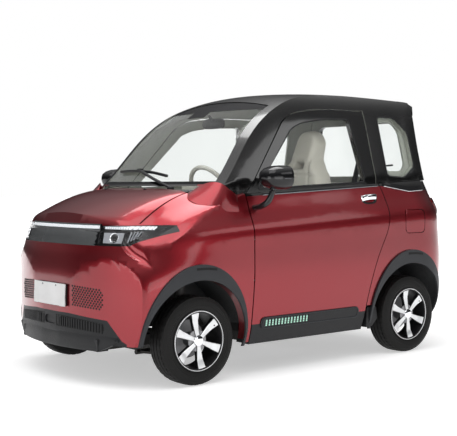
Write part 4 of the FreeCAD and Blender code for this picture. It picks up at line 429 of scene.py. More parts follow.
def finished(name, bm, body, slot, *materials, smooth=0.6, bevel=0.0, replaces=()):
    """Turn a bmesh into a finished piece that rides on a body."""
    if bevel:
        sharp = [edge for edge in bm.edges if len(edge.link_faces) == 2 and edge.calc_face_angle(0.0) > 0.6]
        bmesh.ops.bevel(bm, geom=sharp, offset=bevel, segments=2, profile=0.6, affect="EDGES",
                        clamp_overlap=True)
    for face in bm.faces:
        face.smooth = True
    for edge in bm.edges:
        edge.smooth = len(edge.link_faces) == 2 and edge.calc_face_angle(0.0) < smooth
    mesh = bpy.data.meshes.new(name)
    bm.to_mesh(mesh)
    bm.free()
    for material in materials:
        mesh.materials.append(FINISHES[material])
    return placed(name, mesh, body, replaces)


def placed(name, mesh, body, replaces=()):
    """Link a mesh as a piece that rides on a body."""
    piece = bpy.data.objects.new(name, mesh)
    bpy.context.scene.collection.objects.link(piece)
    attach(piece, body)
    if replaces:
        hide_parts(*replaces)
    return piece


def node_copy(node):
    """Return a bmesh of a CAD node with its loose triangles merged."""
    bm = bmesh.new()
    bm.from_mesh(frame["nodes"][node].data)
    bmesh.ops.remove_doubles(bm, verts=bm.verts, dist=1e-5)
    return bm


def body_of(node):
    """Return the name of the body that a CAD node belongs to."""
    return frame["nodes"][node]["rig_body"]


def slot_of(node):
    """Return a CAD node's material slot."""
    for part in frame["record"]["subparts"]:
        if part["node"] == node:
            return part["material_slot"]
    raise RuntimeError("no such node: " + node)


TREES = {}


def caster(*nodes):
    """Return a function that shoots a ray at some CAD nodes."""
    if nodes not in TREES:
        bm = bmesh.new()
        for node in nodes:
            bm.from_mesh(frame["nodes"][node].data)
        TREES[nodes] = BVHTree.FromBMesh(bm)
        bm.free()
    tree = TREES[nodes]

    def cast(start, direction, guide=None):
        """Return where a ray meets the nodes, or their place nearest to a guide point, and its normal."""
        point, normal, _, _ = tree.ray_cast(start, direction)
        if point is None and guide is not None:
            point, normal, _, _ = tree.find_nearest(guide)
        if point is None:
            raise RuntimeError("a ray from " + str(tuple(start)) + " meets none of " + ", ".join(nodes))
        return point, -normal if normal.dot(direction) > 0 else normal

    return cast


def resampled(points, count):
    """Return a polyline resampled to evenly spaced points."""
    points = [Vector(point) for point in points]
    lengths = [0.0]
    for first, second in zip(points, points[1:]):
        lengths.append(lengths[-1] + (second - first).length)
    result = []
    for index in range(count):
        reach = lengths[-1] * index / (count - 1)
        step = max(i for i in range(len(points) - 1) if lengths[i] <= reach + 1e-9)
        span = lengths[step + 1] - lengths[step]
        result.append(points[step].lerp(points[step + 1], (reach - lengths[step]) / span))
    return result


def between(low, high, rows, columns):
    """Return a grid of points between two polylines."""
    low, high = resampled(low, count=columns), resampled(high, count=columns)
    return [[a.lerp(b, row / (rows - 1)) for a, b in zip(low, high)] for row in range(rows)]


def slab(bm, top, bottom, material=0):
    """Add a closed slab between two grids of points."""
    rows, columns = len(top), len(top[0])
    upper = [[bm.verts.new(point) for point in row] for row in top]
    lower = [[bm.verts.new(point) for point in row] for row in bottom]
    faces = []
    for r in range(rows - 1):
        for c in range(columns - 1):
            faces.append(bm.faces.new((upper[r][c], upper[r][c + 1], upper[r + 1][c + 1], upper[r + 1][c])))
            faces.append(bm.faces.new((lower[r][c], lower[r + 1][c], lower[r + 1][c + 1], lower[r][c + 1])))
    rim = [(0, c) for c in range(columns)] + [(r, columns - 1) for r in range(1, rows)]
    rim += [(rows - 1, c) for c in range(columns - 2, -1, -1)] + [(r, 0) for r in range(rows - 2, 0, -1)]
    for (r, c), (nr, nc) in zip(rim, rim[1:] + rim[:1]):
        faces.append(bm.faces.new((upper[r][c], lower[r][c], lower[nr][nc], upper[nr][nc])))
    for face in faces:
        face.material_index = material
    bmesh.ops.recalc_face_normals(bm, faces=faces)


def drape(bm, starts, cast, direction, lift, depth, material=0):
    """Add a slab that lies on a skin, seen along a direction."""
    direction = Vector(direction).normalized()
    top, bottom = [], []
    for row in starts:
        hits = [cast(point - direction, direction, point) for point in row]
        top.append([point + normal * lift for point, normal in hits])
        bottom.append([point + normal * (lift - depth) for point, normal in hits])
    slab(bm, top, bottom, material)


def loft(bm, rings, material=0, capped=True, closed=False):
    """Add a skin through rings of points, with capped ends or joined into a loop."""
    loops = [[bm.verts.new(point) for point in ring] for ring in rings]
    faces = []
    pairs = list(zip(loops, loops[1:] + loops[:1])) if closed else list(zip(loops, loops[1:]))
    for first, second in pairs:
        for index in range(len(first)):
            after = (index + 1) % len(first)
            faces.append(bm.faces.new((first[index], first[after], second[after], second[index])))
    if capped and not closed:
        faces.append(bm.faces.new(list(reversed(loops[0]))))
        faces.append(bm.faces.new(loops[-1]))
    for face in faces:
        face.material_index = material
    bmesh.ops.recalc_face_normals(bm, faces=faces)
    return faces


def lathe(bm, profile, centre, segments=96, material=0, closed=True, side=1):
    """Turn a profile of (x, radius) pairs round the X axis, closed into a ring or capped at its ends."""
    rings = []
    for index in range(segments):
        angle = 2 * math.pi * index / segments
        rings.append([Vector((side * x, radius * math.cos(angle), radius * math.sin(angle))) + centre
                      for x, radius in profile])
    loops = [[bm.verts.new(point) for point in ring] for ring in rings]
    faces = []
    for first, second in zip(loops, loops[1:] + loops[:1]):
        count = len(profile) if closed else len(profile) - 1
        for index in range(count):
            after = (index + 1) % len(profile)
            faces.append(bm.faces.new((first[index], first[after], second[after], second[index])))
    if not closed:
        for end in (0, -1):
            faces.append(bm.faces.new([loop[end] for loop in loops]))
    for face in faces:
        face.material_index = material
    bmesh.ops.recalc_face_normals(bm, faces=faces)
    return faces


def oval(centre, across, rise, half_across, half_rise, power=2.0, sides=32):
    """Return a superellipse ring about a centre."""
    ring = []
    for index in range(sides):
        angle = 2 * math.pi * index / sides
        c, s = math.cos(angle), math.sin(angle)
        ring.append(centre + across * (math.copysign(abs(c) ** (2 / power), c) * half_across)
                    + rise * (math.copysign(abs(s) ** (2 / power), s) * half_rise))
    return ring


def rounded_end(ring, point, way, reach):
    """Return the tip and the cap ring that round off one end of a bar."""
    way = way.normalized() * reach
    cap = [point + (corner - point) * 0.6 + way * 0.7 for corner in ring]
    tip = [point + (corner - point) * 0.15 + way for corner in ring]
    return tip, cap


def sweep(bm, path, across, rise, sides=12, material=0, power=2.0, taper=True):
    """Add a round or oval bar along a path, with rounded ends."""
    path = [Vector(point) for point in path]
    rings = []
    for index, point in enumerate(path):
        tangent = (path[min(index + 1, len(path) - 1)] - path[max(index - 1, 0)]).normalized()
        side = tangent.cross(AXES[2])
        if side.length < 0.2:
            side = tangent.cross(AXES[0])
        side.normalize()
        lift = side.cross(tangent).normalized()
        rings.append(oval(point, side, lift, across, rise, power=power, sides=sides))
    if taper:
        tip, cap = rounded_end(rings[0], path[0], path[0] - path[1], min(across, rise))
        last_tip, last_cap = rounded_end(rings[-1], path[-1], path[-1] - path[-2], min(across, rise))
        rings = [tip, cap] + rings + [last_cap, last_tip]
    return loft(bm, rings, material=material)


def curved(points, count):
    """Return a smooth curve through a few points."""
    points = [Vector(point) for point in points]
    result = []
    for index in range(count):
        reach = (len(points) - 1) * index / (count - 1)
        step = min(int(reach), len(points) - 2)
        t = reach - step
        before, after = points[max(step - 1, 0)], points[min(step + 2, len(points) - 1)]
        a, b = points[step], points[step + 1]
        result.append(0.5 * (2 * a + (b - before) * t + (2 * before - 5 * a + 4 * b - after) * t * t
                             + (3 * a - before - 3 * b + after) * t * t * t))
    return result


def block(bm, centre, axes, halves, material=0):
    """Add a box with its own axes; its edges are bevelled when the piece is finished."""
    corners = {}
    for i in (-1, 1):
        for j in (-1, 1):
            for k in (-1, 1):
                corners[i, j, k] = bm.verts.new(centre + axes[0] * (i * halves[0]) + axes[1] * (j * halves[1])
                                                + axes[2] * (k * halves[2]))
    faces = []
    for axis in range(3):
        for sign in (-1, 1):
            others = [a for a in range(3) if a != axis]
            loop = []
            for u, v in ((-1, -1), (1, -1), (1, 1), (-1, 1)):
                key = [0, 0, 0]
                key[axis], key[others[0]], key[others[1]] = sign, u, v
                loop.append(corners[tuple(key)])
            faces.append(bm.faces.new(loop))
    for face in faces:
        face.material_index = material
    bmesh.ops.recalc_face_normals(bm, faces=faces)


def frame_at(normal):
    """Return three axes: across, upwards and outwards from a surface."""
    normal = normal.normalized()
    across = AXES[2].cross(normal).normalized()
    return across, normal.cross(across).normalized(), normal


def repeat_tree(name, sides):
    """Return a node tree that sets one small form on every marked spot, turned the way the spot is marked."""
    tree = bpy.data.node_groups.new(name, "GeometryNodeTree")
    tree.interface.new_socket("Geometry", in_out="INPUT", socket_type="NodeSocketGeometry")
    tree.interface.new_socket("Size", in_out="INPUT", socket_type="NodeSocketVector")
    tree.interface.new_socket("Material", in_out="INPUT", socket_type="NodeSocketMaterial")
    tree.interface.new_socket("Geometry", in_out="OUTPUT", socket_type="NodeSocketGeometry")
    nodes, links = tree.nodes, tree.links
    start, end = nodes.new("NodeGroupInput"), nodes.new("NodeGroupOutput")
    if sides:
        form = nodes.new("GeometryNodeMeshCylinder")
        form.inputs["Vertices"].default_value = sides
        size = nodes.new("ShaderNodeSeparateXYZ")
        links.new(start.outputs["Size"], size.inputs[0])
        links.new(size.outputs[0], form.inputs["Radius"])
        links.new(size.outputs[2], form.inputs["Depth"])
    else:
        form = nodes.new("GeometryNodeMeshCube")
        links.new(start.outputs["Size"], form.inputs["Size"])
    turn = nodes.new("FunctionNodeAxesToRotation")
    turn.primary_axis, turn.secondary_axis = "Z", "X"
    for index, key in enumerate(("facing", "along")):
        marked = nodes.new("GeometryNodeInputNamedAttribute")
        marked.data_type = "FLOAT_VECTOR"
        marked.inputs["Name"].default_value = key
        links.new(marked.outputs["Attribute"], turn.inputs[index])
    spread = nodes.new("GeometryNodeInstanceOnPoints")
    real = nodes.new("GeometryNodeRealizeInstances")
    coat = nodes.new("GeometryNodeSetMaterial")
    links.new(start.outputs["Geometry"], spread.inputs["Points"])
    links.new(form.outputs["Mesh"], spread.inputs["Instance"])
    links.new(turn.outputs[0], spread.inputs["Rotation"])
    links.new(spread.outputs["Instances"], real.inputs["Geometry"])
    links.new(real.outputs["Geometry"], coat.inputs["Geometry"])
    links.new(start.outputs["Material"], coat.inputs["Material"])
    links.new(coat.outputs["Geometry"], end.inputs["Geometry"])
    return tree


def evaluated_copy(source):
    """Return the mesh that an object's modifiers give, and delete the object."""
    bpy.context.view_layer.update()
    mesh = bpy.data.meshes.new_from_object(source.evaluated_get(bpy.context.evaluated_depsgraph_get()))
    bpy.data.objects.remove(source)
    return mesh


def repeated(name, spots, size, sides, body, material):
    """Repeat one small form over (point, facing, along) spots and keep the result as a plain mesh."""
    label = ("repeat_round" if sides else "repeat_block") + str(sides)
    tree = bpy.data.node_groups.get(label) or repeat_tree(label, sides)
    mesh = bpy.data.meshes.new(name + "_spots")
    mesh.from_pydata([tuple(spot[0]) for spot in spots], [], [])
    for index, key in ((1, "facing"), (2, "along")):
        marks = mesh.attributes.new(key, "FLOAT_VECTOR", "POINT")
        for mark, spot in zip(marks.data, spots):
            mark.vector = spot[index]
    source = bpy.data.objects.new(name + "_spots", mesh)
    bpy.context.scene.collection.objects.link(source)
    modifier = source.modifiers.new("repeat", "NODES")
    modifier.node_group = tree
    values = {"Size": size, "Material": FINISHES[material]}
    for item in tree.interface.items_tree:
        if item.in_out == "INPUT" and item.name in values:
            modifier[item.identifier] = values[item.name]
    result = evaluated_copy(source)
    result.name = name
    return placed(name, result, body)


# Panels

def panel(node, *materials, choose=None, smooth=0.6):
    """Replace a CAD node by a merged and smoothly shaded copy of it, its faces' materials chosen by place."""
    bm = node_copy(node)
    if choose:
        for face in bm.faces:
            face.material_index = choose(face.calc_center_median(), face.normal)
    return finished(node + "_skin", bm, body_of(node), slot_of(node), *materials, smooth=smooth,
                    replaces=(node,))


def body_face(centre, normal):
    """Choose a body panel's paint or its dark inner side."""
    core = Vector((0.0, min(max(centre.y, -0.6), 0.6), 0.55))
    return 1 if normal.dot((centre - core).normalized()) < -0.05 else 0


def roof_face(centre, normal):
    """Choose the roof's satin top, its gloss pillars with the red wing feet, or its lining."""
    if normal.dot(Vector((0.0, 0.15, 1.15)) - centre) > 0.15:
        return 2
    return 1 if centre.z < 1.52 else 0


def door_face(centre, normal):
    """Choose a door's paint or its inner trim."""
    inner = normal.x * (1 if centre.x > 0 else -1) < -0.35
    return 1 if inner and centre.z < 1.06 else 2 if inner else 0


def tailgate_face(centre, normal):
    """Choose the tailgate's paint, its black frame or its lining."""
    if normal.y < -0.3:
        return 2
    return 1 if centre.z > 1.09 else 0


def lamp_face(centre, normal):
    """Choose the bar panel, whose grey is partly painted reflection, or the headlamps' black insides."""
    return 1 if abs(centre.x) < 0.371 and normal.y < -0.7 else 0


PANELS = (
    ("bonnet", ("red", "trim"), body_face),
    ("front_body", ("red", "trim"), body_face),
    ("rear_body", ("rear", "trim"), body_face),
    ("tailgate", ("red", "roof", "lining"), tailgate_face),
    ("charge_flap", ("red",), None),
    ("door_panel_left", ("door", "dash", "lining"), door_face),
    ("door_panel_right", ("door", "dash", "lining"), door_face),
    ("roof", ("roof", "wing", "lining"), roof_face),
    ("cowl", ("wing",), None),
    ("front_bumper", ("trim",), None),
    ("rear_bumper", ("trim",), None),
    ("arch_flares", ("flare",), None),
    ("wheel_liners", ("trim",), None),
    ("door_trim_left", ("trim",), None),
    ("door_trim_right", ("trim",), None),
    ("glazing", ("screen",), None),
    ("door_glass_left", ("glass",), None),
    ("door_glass_right", ("glass",), None),
    ("tailgate_glass", ("glass",), None),
    ("front_lamps", ("gloss", "bar"), lamp_face),
    ("tail_lamps", ("tail",), None),
    ("chassis_frame", ("steel",), None),
    ("floor_pan", ("carpet",), None),
    ("front_suspension", ("steel",), None),
    ("steering_rack", ("cast",), None),
    ("knuckle_left", ("steel",), None),
    ("knuckle_right", ("steel",), None),
    ("rear_axle", ("steel",), None),
    ("seat_bases", ("carpet",), None),
    ("battery_pack", ("cast",), None),
    ("drive_motor", ("cast",), None),
    ("dashboard", ("dash",), None),
    ("steering_wheel", ("dash",), None),
)


def make_panels():
    """Dress every node that keeps its own shape."""
    for node, materials, choose in PANELS:
        panel(node, *materials, choose=choose)


# Front

def make_light_bar():
    """Lay the lit strip in the groove between the headlamps."""
    half, low, high = 0.366, 0.8535, 0.8695
    cast = caster("front_lamps")
    bm = bmesh.new()
    lower = [(-half, NOSE_Y, low), (half, NOSE_Y, low)]
    upper = [(-half, NOSE_Y, high), (half, NOSE_Y, high)]
    drape(bm, between(lower, upper, rows=3, columns=60), cast, FORWARD, lift=0.0045, depth=0.004)
    finished("light_bar", bm, "car", "lamp_clear", "led")


def lamp_points(points, side):
    """Return one headlamp's points, mirrored for the right side."""
    return [Vector((x * side, y, z)) for x, y, z in points]


def add_projector(bm, cast, aim, side):
    """Add a headlamp's projector ring and its domed lens."""
    steps, radius, rise = 6, 0.0205, 0.008
    centre, normal = cast(Vector((0.466 * side, -1.155, 0.806)) - aim, aim)
    across, up, normal = frame_at(normal)
    ring = ((-0.002, 0.028), (0.006, 0.028), (0.009, 0.026), (0.007, 0.023), (0.004, 0.021))
    loft(bm, [oval(centre + normal * height, across, up, wide, wide, sides=40) for height, wide in ring])
    dome = []
    for step in range(steps + 1):
        wide = radius * math.cos(step / (1.1 * steps) * math.pi / 2)
        lift = 0.0035 + rise * math.sin(step / steps * math.pi / 2)
        dome.append(oval(centre + normal * lift, across, up, wide, wide, sides=40))
    loft(bm, dome, material=1)


def make_headlamp(name, side):
    """Fit one headlamp: strip, projector, slanted bars, rim and clear cover."""
    cast = caster("front_lamps")
    aim = Vector((-0.5 * side, 1.0, 0.0)).normalized()

    bm = bmesh.new()
    low = lamp_points([(0.404, -1.191, 0.852), (0.50, -1.120, 0.850), (0.600, -1.000, 0.846)], side)
    high = lamp_points([(0.404, -1.191, 0.866), (0.50, -1.120, 0.865), (0.606, -0.995, 0.861)], side)
    drape(bm, between(low, high, rows=4, columns=30), cast, aim, lift=0.007, depth=0.006)
    finished("headlamp_strip_" + name, bm, "car", "lamp_clear", "beads")

    bm = bmesh.new()
    low = lamp_points([(0.404, -1.19, 0.778), (0.500, -1.12, 0.778)], side)
    high = lamp_points([(0.404, -1.19, 0.832), (0.512, -1.12, 0.832)], side)
    drape(bm, between(low, high, rows=4, columns=10), cast, aim, lift=0.0035, depth=0.004, material=3)
    add_projector(bm, cast, aim, side)
    for index in range(LAMP_BARS):
        x = 0.530 + 0.016 * index
        foot, foot_out = cast(Vector((x * side, -1.1, 0.784 + 0.006 * index)) - aim, aim)
        head, head_out = cast(Vector(((x + 0.012) * side, -1.1, 0.834)) - aim, aim)
        sweep(bm, (foot + foot_out * 0.006, head + head_out * 0.006), 0.0045, 0.0035, sides=8, material=2,
              power=4.0, taper=False)
    finished("headlamp_inside_" + name, bm, "car", "lamp_clear", "chrome", "gloss", "silver", "silver",
             smooth=0.7)

    bm = bmesh.new()
    low = lamp_points([(0.396, -1.197, 0.776), (0.50, -1.120, 0.775), (0.565, -1.050, 0.780),
                       (0.630, -0.950, 0.836), (0.645, -0.925, 0.860)], side)
    high = lamp_points([(0.396, -1.197, 0.868), (0.50, -1.120, 0.868), (0.565, -1.050, 0.868),
                        (0.635, -0.945, 0.867), (0.648, -0.922, 0.866)], side)
    drape(bm, between(low, high, rows=6, columns=30), cast, aim, lift=0.0125, depth=0.002)
    finished("headlamp_cover_" + name, bm, "car", "lamp_clear", "lens")


def make_perforations():
    """Scatter the two fields of round holes beside the number plate, drawn as near-black discs of painted
    shade on the skin.
    """
    rows, columns = 9, 12
    inner, outer, top = 0.222, 0.455, 0.540
    pitch, row_drop, fall, taper = 0.020, 0.0128, 0.06, 0.005
    radius, depth, lift = 0.0060, 0.0012, 0.0004
    cast = caster("front_body")
    spots = []
    for side in (1, -1):
        for row in range(rows):
            for column in range(columns):
                x = inner + pitch * column + (pitch / 2 if row % 2 else 0.0)
                z = top - row_drop * row - fall * (x - inner)
                if x > outer - taper * abs(row - rows // 2):
                    continue
                point, normal = cast(Vector((x * side, BEFORE_Y, z)), FORWARD)
                across, _, _ = frame_at(normal)
                spots.append((point + normal * lift, normal, across))
    repeated("nose_perforations", spots, (radius, radius, depth), 12, "car", "slot")


def make_grille():
    """Lay the bumper's intake band, a near-black sheet of painted shade for the opening, and its upright
    ribs.
    """
    cast = caster("front_bumper")
    bm = bmesh.new()
    spots = []
    inner, length, reach, end = 0.066, 0.384, 0.45, 0.05
    ribs, first_rib, rib_pitch = 19, 0.076, 0.020
    for side in (1, -1):
        low, high = [], []
        for index in range(25):
            x = inner + length * index / 24
            bow = (x / reach) ** 2
            close = max(0.0, (x - (reach - end)) / end) ** 2
            low.append(Vector((side * x, NOSE_Y, 0.309 - 0.012 * bow + 0.014 * close)))
            high.append(Vector((side * x, NOSE_Y, 0.374 - 0.030 * bow - 0.012 * close)))
        drape(bm, between(low, high, rows=4, columns=40), cast, FORWARD, lift=0.0012, depth=0.003)
        for index in range(ribs):
            x = first_rib + rib_pitch * index
            point, normal = cast(Vector((side * x, BEFORE_Y, 0.3405 - 0.021 * (x / reach) ** 2)), FORWARD)
            spots.append((point + normal * 0.0022, normal, AXES[0]))
    finished("intake_band", bm, "car", "matte_black", "slot")
    repeated("intake_ribs", spots, (0.0075, 0.052, 0.005), 0, "car", "trim")


def make_flare_slots():
    """Lay the slot on top of each arch flare as a near-black strip of painted shade."""
    flare = caster("arch_flares")
    height = 0.013
    bm = bmesh.new()
    for _, side in SIDES:
        for axle in (FRONT_AXLE_Y, REAR_AXLE_Y):
            ends = [(-0.035, 0.372), (0.035, 0.3715), (0.100, 0.364)]
            low = [Vector((side * SKIN_X, axle + y, AXLE_Z + z)) for y, z in ends]
            high = [point + AXES[2] * height for point in low]
            drape(bm, between(low, high, rows=3, columns=12), flare, Vector((-side, 0.0, -0.25)),
                  lift=0.0010, depth=0.003)
    finished("flare_slots", bm, "car", "matte_black", "slot")


def make_valance():
    """Run one smooth lower edge along the front bumper."""
    steps, half, height, bottom = 48, 0.545, 0.275, 0.199
    level_half, rise_length, rise_height = 0.385, 0.160, 0.058
    cast = caster("front_bumper")
    bm = bmesh.new()
    rings = []
    for index in range(steps + 1):
        x = -half + 2 * half * index / steps
        top, _ = cast(Vector((x, BEFORE_Y, height)), FORWARD, Vector((x, -1.25, height)))
        rise = max(0.0, abs(x) - level_half) / rise_length
        foot = Vector((x, top.y, bottom + rise_height * rise * rise * (2.0 - rise)))
        rings.append([base + Vector((0.0, y, z)) for base, y, z in (
            (top, 0.010, 0.010), (top, -0.0004, 0.009), (top, -0.0008, 0.0), (foot, -0.011, 0.008),
            (foot, -0.005, -0.002), (foot, 0.016, -0.002), (foot, 0.020, 0.010), (top, 0.014, 0.0))])
    loft(bm, rings)
    finished("front_valance", bm, "car", "matte_black", "trim", smooth=0.9)


WING_BRIDGE_LOW = ((0.500, -0.742), (0.552, -0.746), (0.616, -0.718), (0.666, -0.660), (0.692, -0.585),
                   (0.697, -0.500))
WING_BRIDGE_HIGH = ((0.500, -0.684, 1.052), (0.545, -0.642, 1.086), (0.594, -0.608, 1.101),
                    (0.642, -0.576, 1.091), (0.658, -0.534, 1.058), (0.664, -0.486, 1.026))


def make_wing_bridge(name, side):
    """Close one front wing up to the windscreen pillar."""
    rows, columns, bulge, thick = 9, 26, 0.004, 0.006
    cast = caster("front_body", "cowl")
    low = []
    for x, y in WING_BRIDGE_LOW:
        point, _ = cast(Vector((side * x, y, ABOVE_Z)), -AXES[2], Vector((side * x, y, 1.02)))
        low.append(point + AXES[2] * 0.0010)
    high = [Vector((side * x, y, z)) for x, y, z in WING_BRIDGE_HIGH]
    low, high = (resampled(curved(line, count=40), count=columns) for line in (low, high))
    outward = Vector((side * 0.55, -0.45, 0.70)).normalized()
    top = []
    for row in range(rows):
        t = row / (rows - 1)
        top.append([a.lerp(b, t) + outward * (bulge * math.sin(math.pi * t)) for a, b in zip(low, high)])
    bm = bmesh.new()
    slab(bm, top, [[point - outward * thick for point in row] for row in top])
    finished("wing_bridge_" + name, bm, "car", "red_paint", "red", smooth=0.9)


def make_sill_end(name, side):
    """Close the sill behind one door."""
    outline = ((0.506, 0.190), (0.560, 0.194), (0.612, 0.240), (0.596, 0.318), (0.516, 0.318))
    bm = bmesh.new()
    loft(bm, [[Vector((side * x, y, z)) for y, z in outline] for x in (0.610, 0.700)])
    finished("sill_end_" + name, bm, "car", "matte_black", "trim", bevel=0.006)


def make_roof_lip():
    """Add the roof slab's overhanging rear lip."""
    steps, half, end_y = 32, 0.525, 1.234
    cast = caster("roof")
    bm = bmesh.new()
    rings = []
    for index in range(steps + 1):
        x = -half + 2 * half * index / steps
        share = abs(x) / half
        bow = 0.020 * share ** 2 + 0.075 * share ** 8
        end = min(1.0, 6.0 * (0.54 - abs(x)))
        near, far = (cast(Vector((x, y, 2.5)), -AXES[2], Vector((x, y, 1.6)))[0] for y in (1.03, 1.10))
        tip = Vector((x, end_y - bow, far.z - 0.026))
        rings.append([near + AXES[2] * -0.004, near + AXES[2] * 0.0012, far + AXES[2] * 0.004 * end,
                      far.lerp(tip, 0.6) + AXES[2] * 0.005 * end, tip, tip - AXES[2] * 0.014,
                      tip - Vector((0.0, 0.010, 0.022)), far - AXES[2] * 0.034])
    loft(bm, rings)
    finished("roof_lip", bm, "car", "satin_black_roof", "roof", smooth=0.9)


def make_plate(name, node, body, z, facing, half=(0.176, 0.062)):
    """Fit a blank number plate on a black holder with two screws."""
    guide_y, start_y = -1.3 * facing, BEFORE_Y * facing
    cast = caster(node)
    way = Vector((0.0, facing, 0.0))
    bm = bmesh.new()
    for grow, lift, depth, material in ((-0.004, 0.0135, 0.016, 0), (0.0, 0.0165, 0.004, 1)):
        wide, high = half[0] + grow, half[1] + grow
        low = [(-wide, guide_y, z - high), (wide, guide_y, z - high)]
        top = [(-wide, guide_y, z + high), (wide, guide_y, z + high)]
        drape(bm, between(low, top, rows=8, columns=24), cast, way, lift=lift, depth=depth, material=material)
    finished("plate_" + name, bm, body, "gloss_black", "trim", "plate", bevel=0.0008)
    spots = []
    for x in (-0.075, 0.075):
        point, normal = cast(Vector((x, start_y, z + half[1] - 0.013)), way)
        spots.append((point + normal * 0.0170, normal, frame_at(normal)[0]))
    repeated("plate_screws_" + name, spots, (0.0050, 0.0050, 0.0030), 16, body, "silver")


def make_wiper():
    """Shape the wiper: pivot cap, tapered arm and the jointed blade with its rubber."""
    cast = caster("glazing")

    def on_screen(x, z, lift):
        """Return a point at a height over the windscreen."""
        point, normal = cast(Vector((x, BEFORE_Y, z)), FORWARD)
        return point + normal * lift

    pivot = Vector((0.300, -0.684, 1.066))
    joint = on_screen(-0.110, 1.160, 0.022)
    bm = bmesh.new()
    rings = [oval(pivot + AXES[2] * height, AXES[0], AXES[1], radius, radius, sides=24)
             for height, radius in ((-0.012, 0.021), (0.002, 0.021), (0.009, 0.017), (0.012, 0.008))]
    loft(bm, rings)
    path = curved((pivot + Vector((0.0, 0.0, 0.004)), pivot.lerp(joint, 0.18) + Vector((0.0, -0.014, 0.006)),
                   pivot.lerp(joint, 0.55) + Vector((0.0, -0.018, 0.004)),
                   joint + Vector((0.0, -0.006, 0.0))), count=26)
    sweep(bm, path, 0.012, 0.007, power=3.0)
    blade = ((0.190, 1.130), (0.04, 1.150), (-0.110, 1.160), (-0.26, 1.163), (-0.405, 1.160))
    blade = curved([on_screen(x, z, 0.012) for x, z in blade], count=40)
    sweep(bm, blade, 0.0095, 0.0085, sides=10, power=3.0)
    rubber = [point - (point - on_screen(point.x, point.z, 0.0)) * 0.55 for point in blade]
    sweep(bm, rubber, 0.0022, 0.0045, sides=8, material=1, power=3.0)
    block(bm, joint, AXES, (0.022, 0.009, 0.009))
    finished("wiper_arm", bm, "car", "matte_black", "trim", "slot", bevel=0.0015, replaces=("wiper",))


def make_cowl_details():
    """Add the cowl's slats, near-black strips of painted shade for its openings, and the washer nozzles."""
    slats, pitch, first, slat_y = 46, 0.016, -0.36, -0.664
    cast = caster("cowl", "bonnet")
    spots = []
    for index in range(slats):
        point, normal = cast(Vector((first + pitch * index, slat_y, ABOVE_Z)), -AXES[2])
        spots.append((point, normal, AXES[0]))
    repeated("cowl_slats", spots, (0.006, 0.034, 0.0016), 0, "car", "slot")
    bm = bmesh.new()
    for x in (-0.21, 0.21):
        point, normal = caster("bonnet")(Vector((x, -0.80, ABOVE_Z)), -AXES[2])
        rings = [oval(point + AXES[2] * height, AXES[0], AXES[1], across, along, power=2.4, sides=20)
                 for height, across, along in ((-0.002, 0.012, 0.009), (0.004, 0.011, 0.008),
                                               (0.007, 0.007, 0.005))]
        loft(bm, rings)
    finished("washer_nozzles", bm, "bonnet_lid", "matte_black", "trim")


# Sides

WINDOW = ((-0.317, 1.062), (0.008, 1.413), (0.090, 1.447), (0.259, 1.473), (0.500, 1.482), (0.556, 1.095))
QUARTER = ((0.762, 1.504), (0.919, 1.501), (1.019, 1.411), (1.030, 1.191), (0.930, 1.122), (0.772, 1.131))
QUARTER_INSIDE = ((0.790, 1.478), (0.925, 1.475), (0.975, 1.420), (0.982, 1.200), (0.945, 1.158),
                  (0.790, 1.160))


def rounded_outline(points, radius, steps=5):
    """Return an outline of (y, z) points with its corners rounded."""
    points = [Vector(point) for point in points]
    result = []
    for index, corner in enumerate(points):
        before, after = points[index - 1], points[(index + 1) % len(points)]
        reach = min(radius, (corner - before).length / 2.2, (corner - after).length / 2.2)
        start = corner + (before - corner).normalized() * reach
        end = corner + (after - corner).normalized() * reach
        for step in range(steps + 1):
            t = step / steps
            result.append(start.lerp(corner, t).lerp(corner.lerp(end, t), t))
    return result


def closed_bead(bm, path, outward, half_wide, half_high):
    """Add a slim bead along a closed path on a side wall."""
    rings = []
    for index, point in enumerate(path):
        way = (path[(index + 1) % len(path)] - path[index - 1]).normalized()
        rings.append(oval(point, way.cross(outward).normalized(), outward, half_wide, half_high, sides=8))
    loft(bm, rings, capped=False, closed=True)


def make_window_seal(name, side, outline, nodes, body):
    """Lay a rubber seal round a side window."""
    grow, lift = 0.004, 0.0012
    cast = caster(*nodes)
    outward = Vector((side, 0.0, 0.0))
    middle = sum((Vector(point) for point in outline), Vector((0.0, 0.0))) / len(outline)
    path = []
    for point in rounded_outline(outline, radius=0.030):
        point = middle + (point - middle) * (1 + grow / (point - middle).length)
        hit, normal = cast(Vector((side * BESIDE_X, point.x, point.y)), -outward)
        path.append(hit + normal * lift)
    bm = bmesh.new()
    closed_bead(bm, path, outward, half_wide=0.0042, half_high=0.0026)
    finished("seal_" + name, bm, body, "matte_black", "trim")


def belt_at(y):
    """Return the height of the doors' belt line."""
    return BELT_HEIGHT + BELT_RISE * y


def make_belt(name, side):
    """Add one door's belt strip and its bright line."""
    start, length, steps, height = -0.300, 0.944, 40, 0.017
    body = "door_" + name
    cast = caster("door_panel_" + name, "door_glass_" + name)
    way = Vector((-side, 0.0, 0.0))
    ys = [start + length * index / steps for index in range(steps + 1)]
    low = [Vector((side * SKIN_X, y, belt_at(y) - 0.001)) for y in ys]
    high = [Vector((side * SKIN_X, y, belt_at(y) + height)) for y in ys]
    bm = bmesh.new()
    drape(bm, [low, [a.lerp(b, 0.5) for a, b in zip(low, high)], high], cast, way, lift=0.004, depth=0.006)
    finished("belt_strip_" + name, bm, body, "gloss_black", "gloss")
    path = []
    for y in ys:
        point, normal = cast(Vector((side * BESIDE_X, y, belt_at(y) - 0.001)), way)
        path.append(point + normal * 0.0035)
    bm = bmesh.new()
    sweep(bm, path, 0.0020, 0.0022, sides=8)
    finished("belt_line_" + name, bm, body, "chrome_trim", "silver")


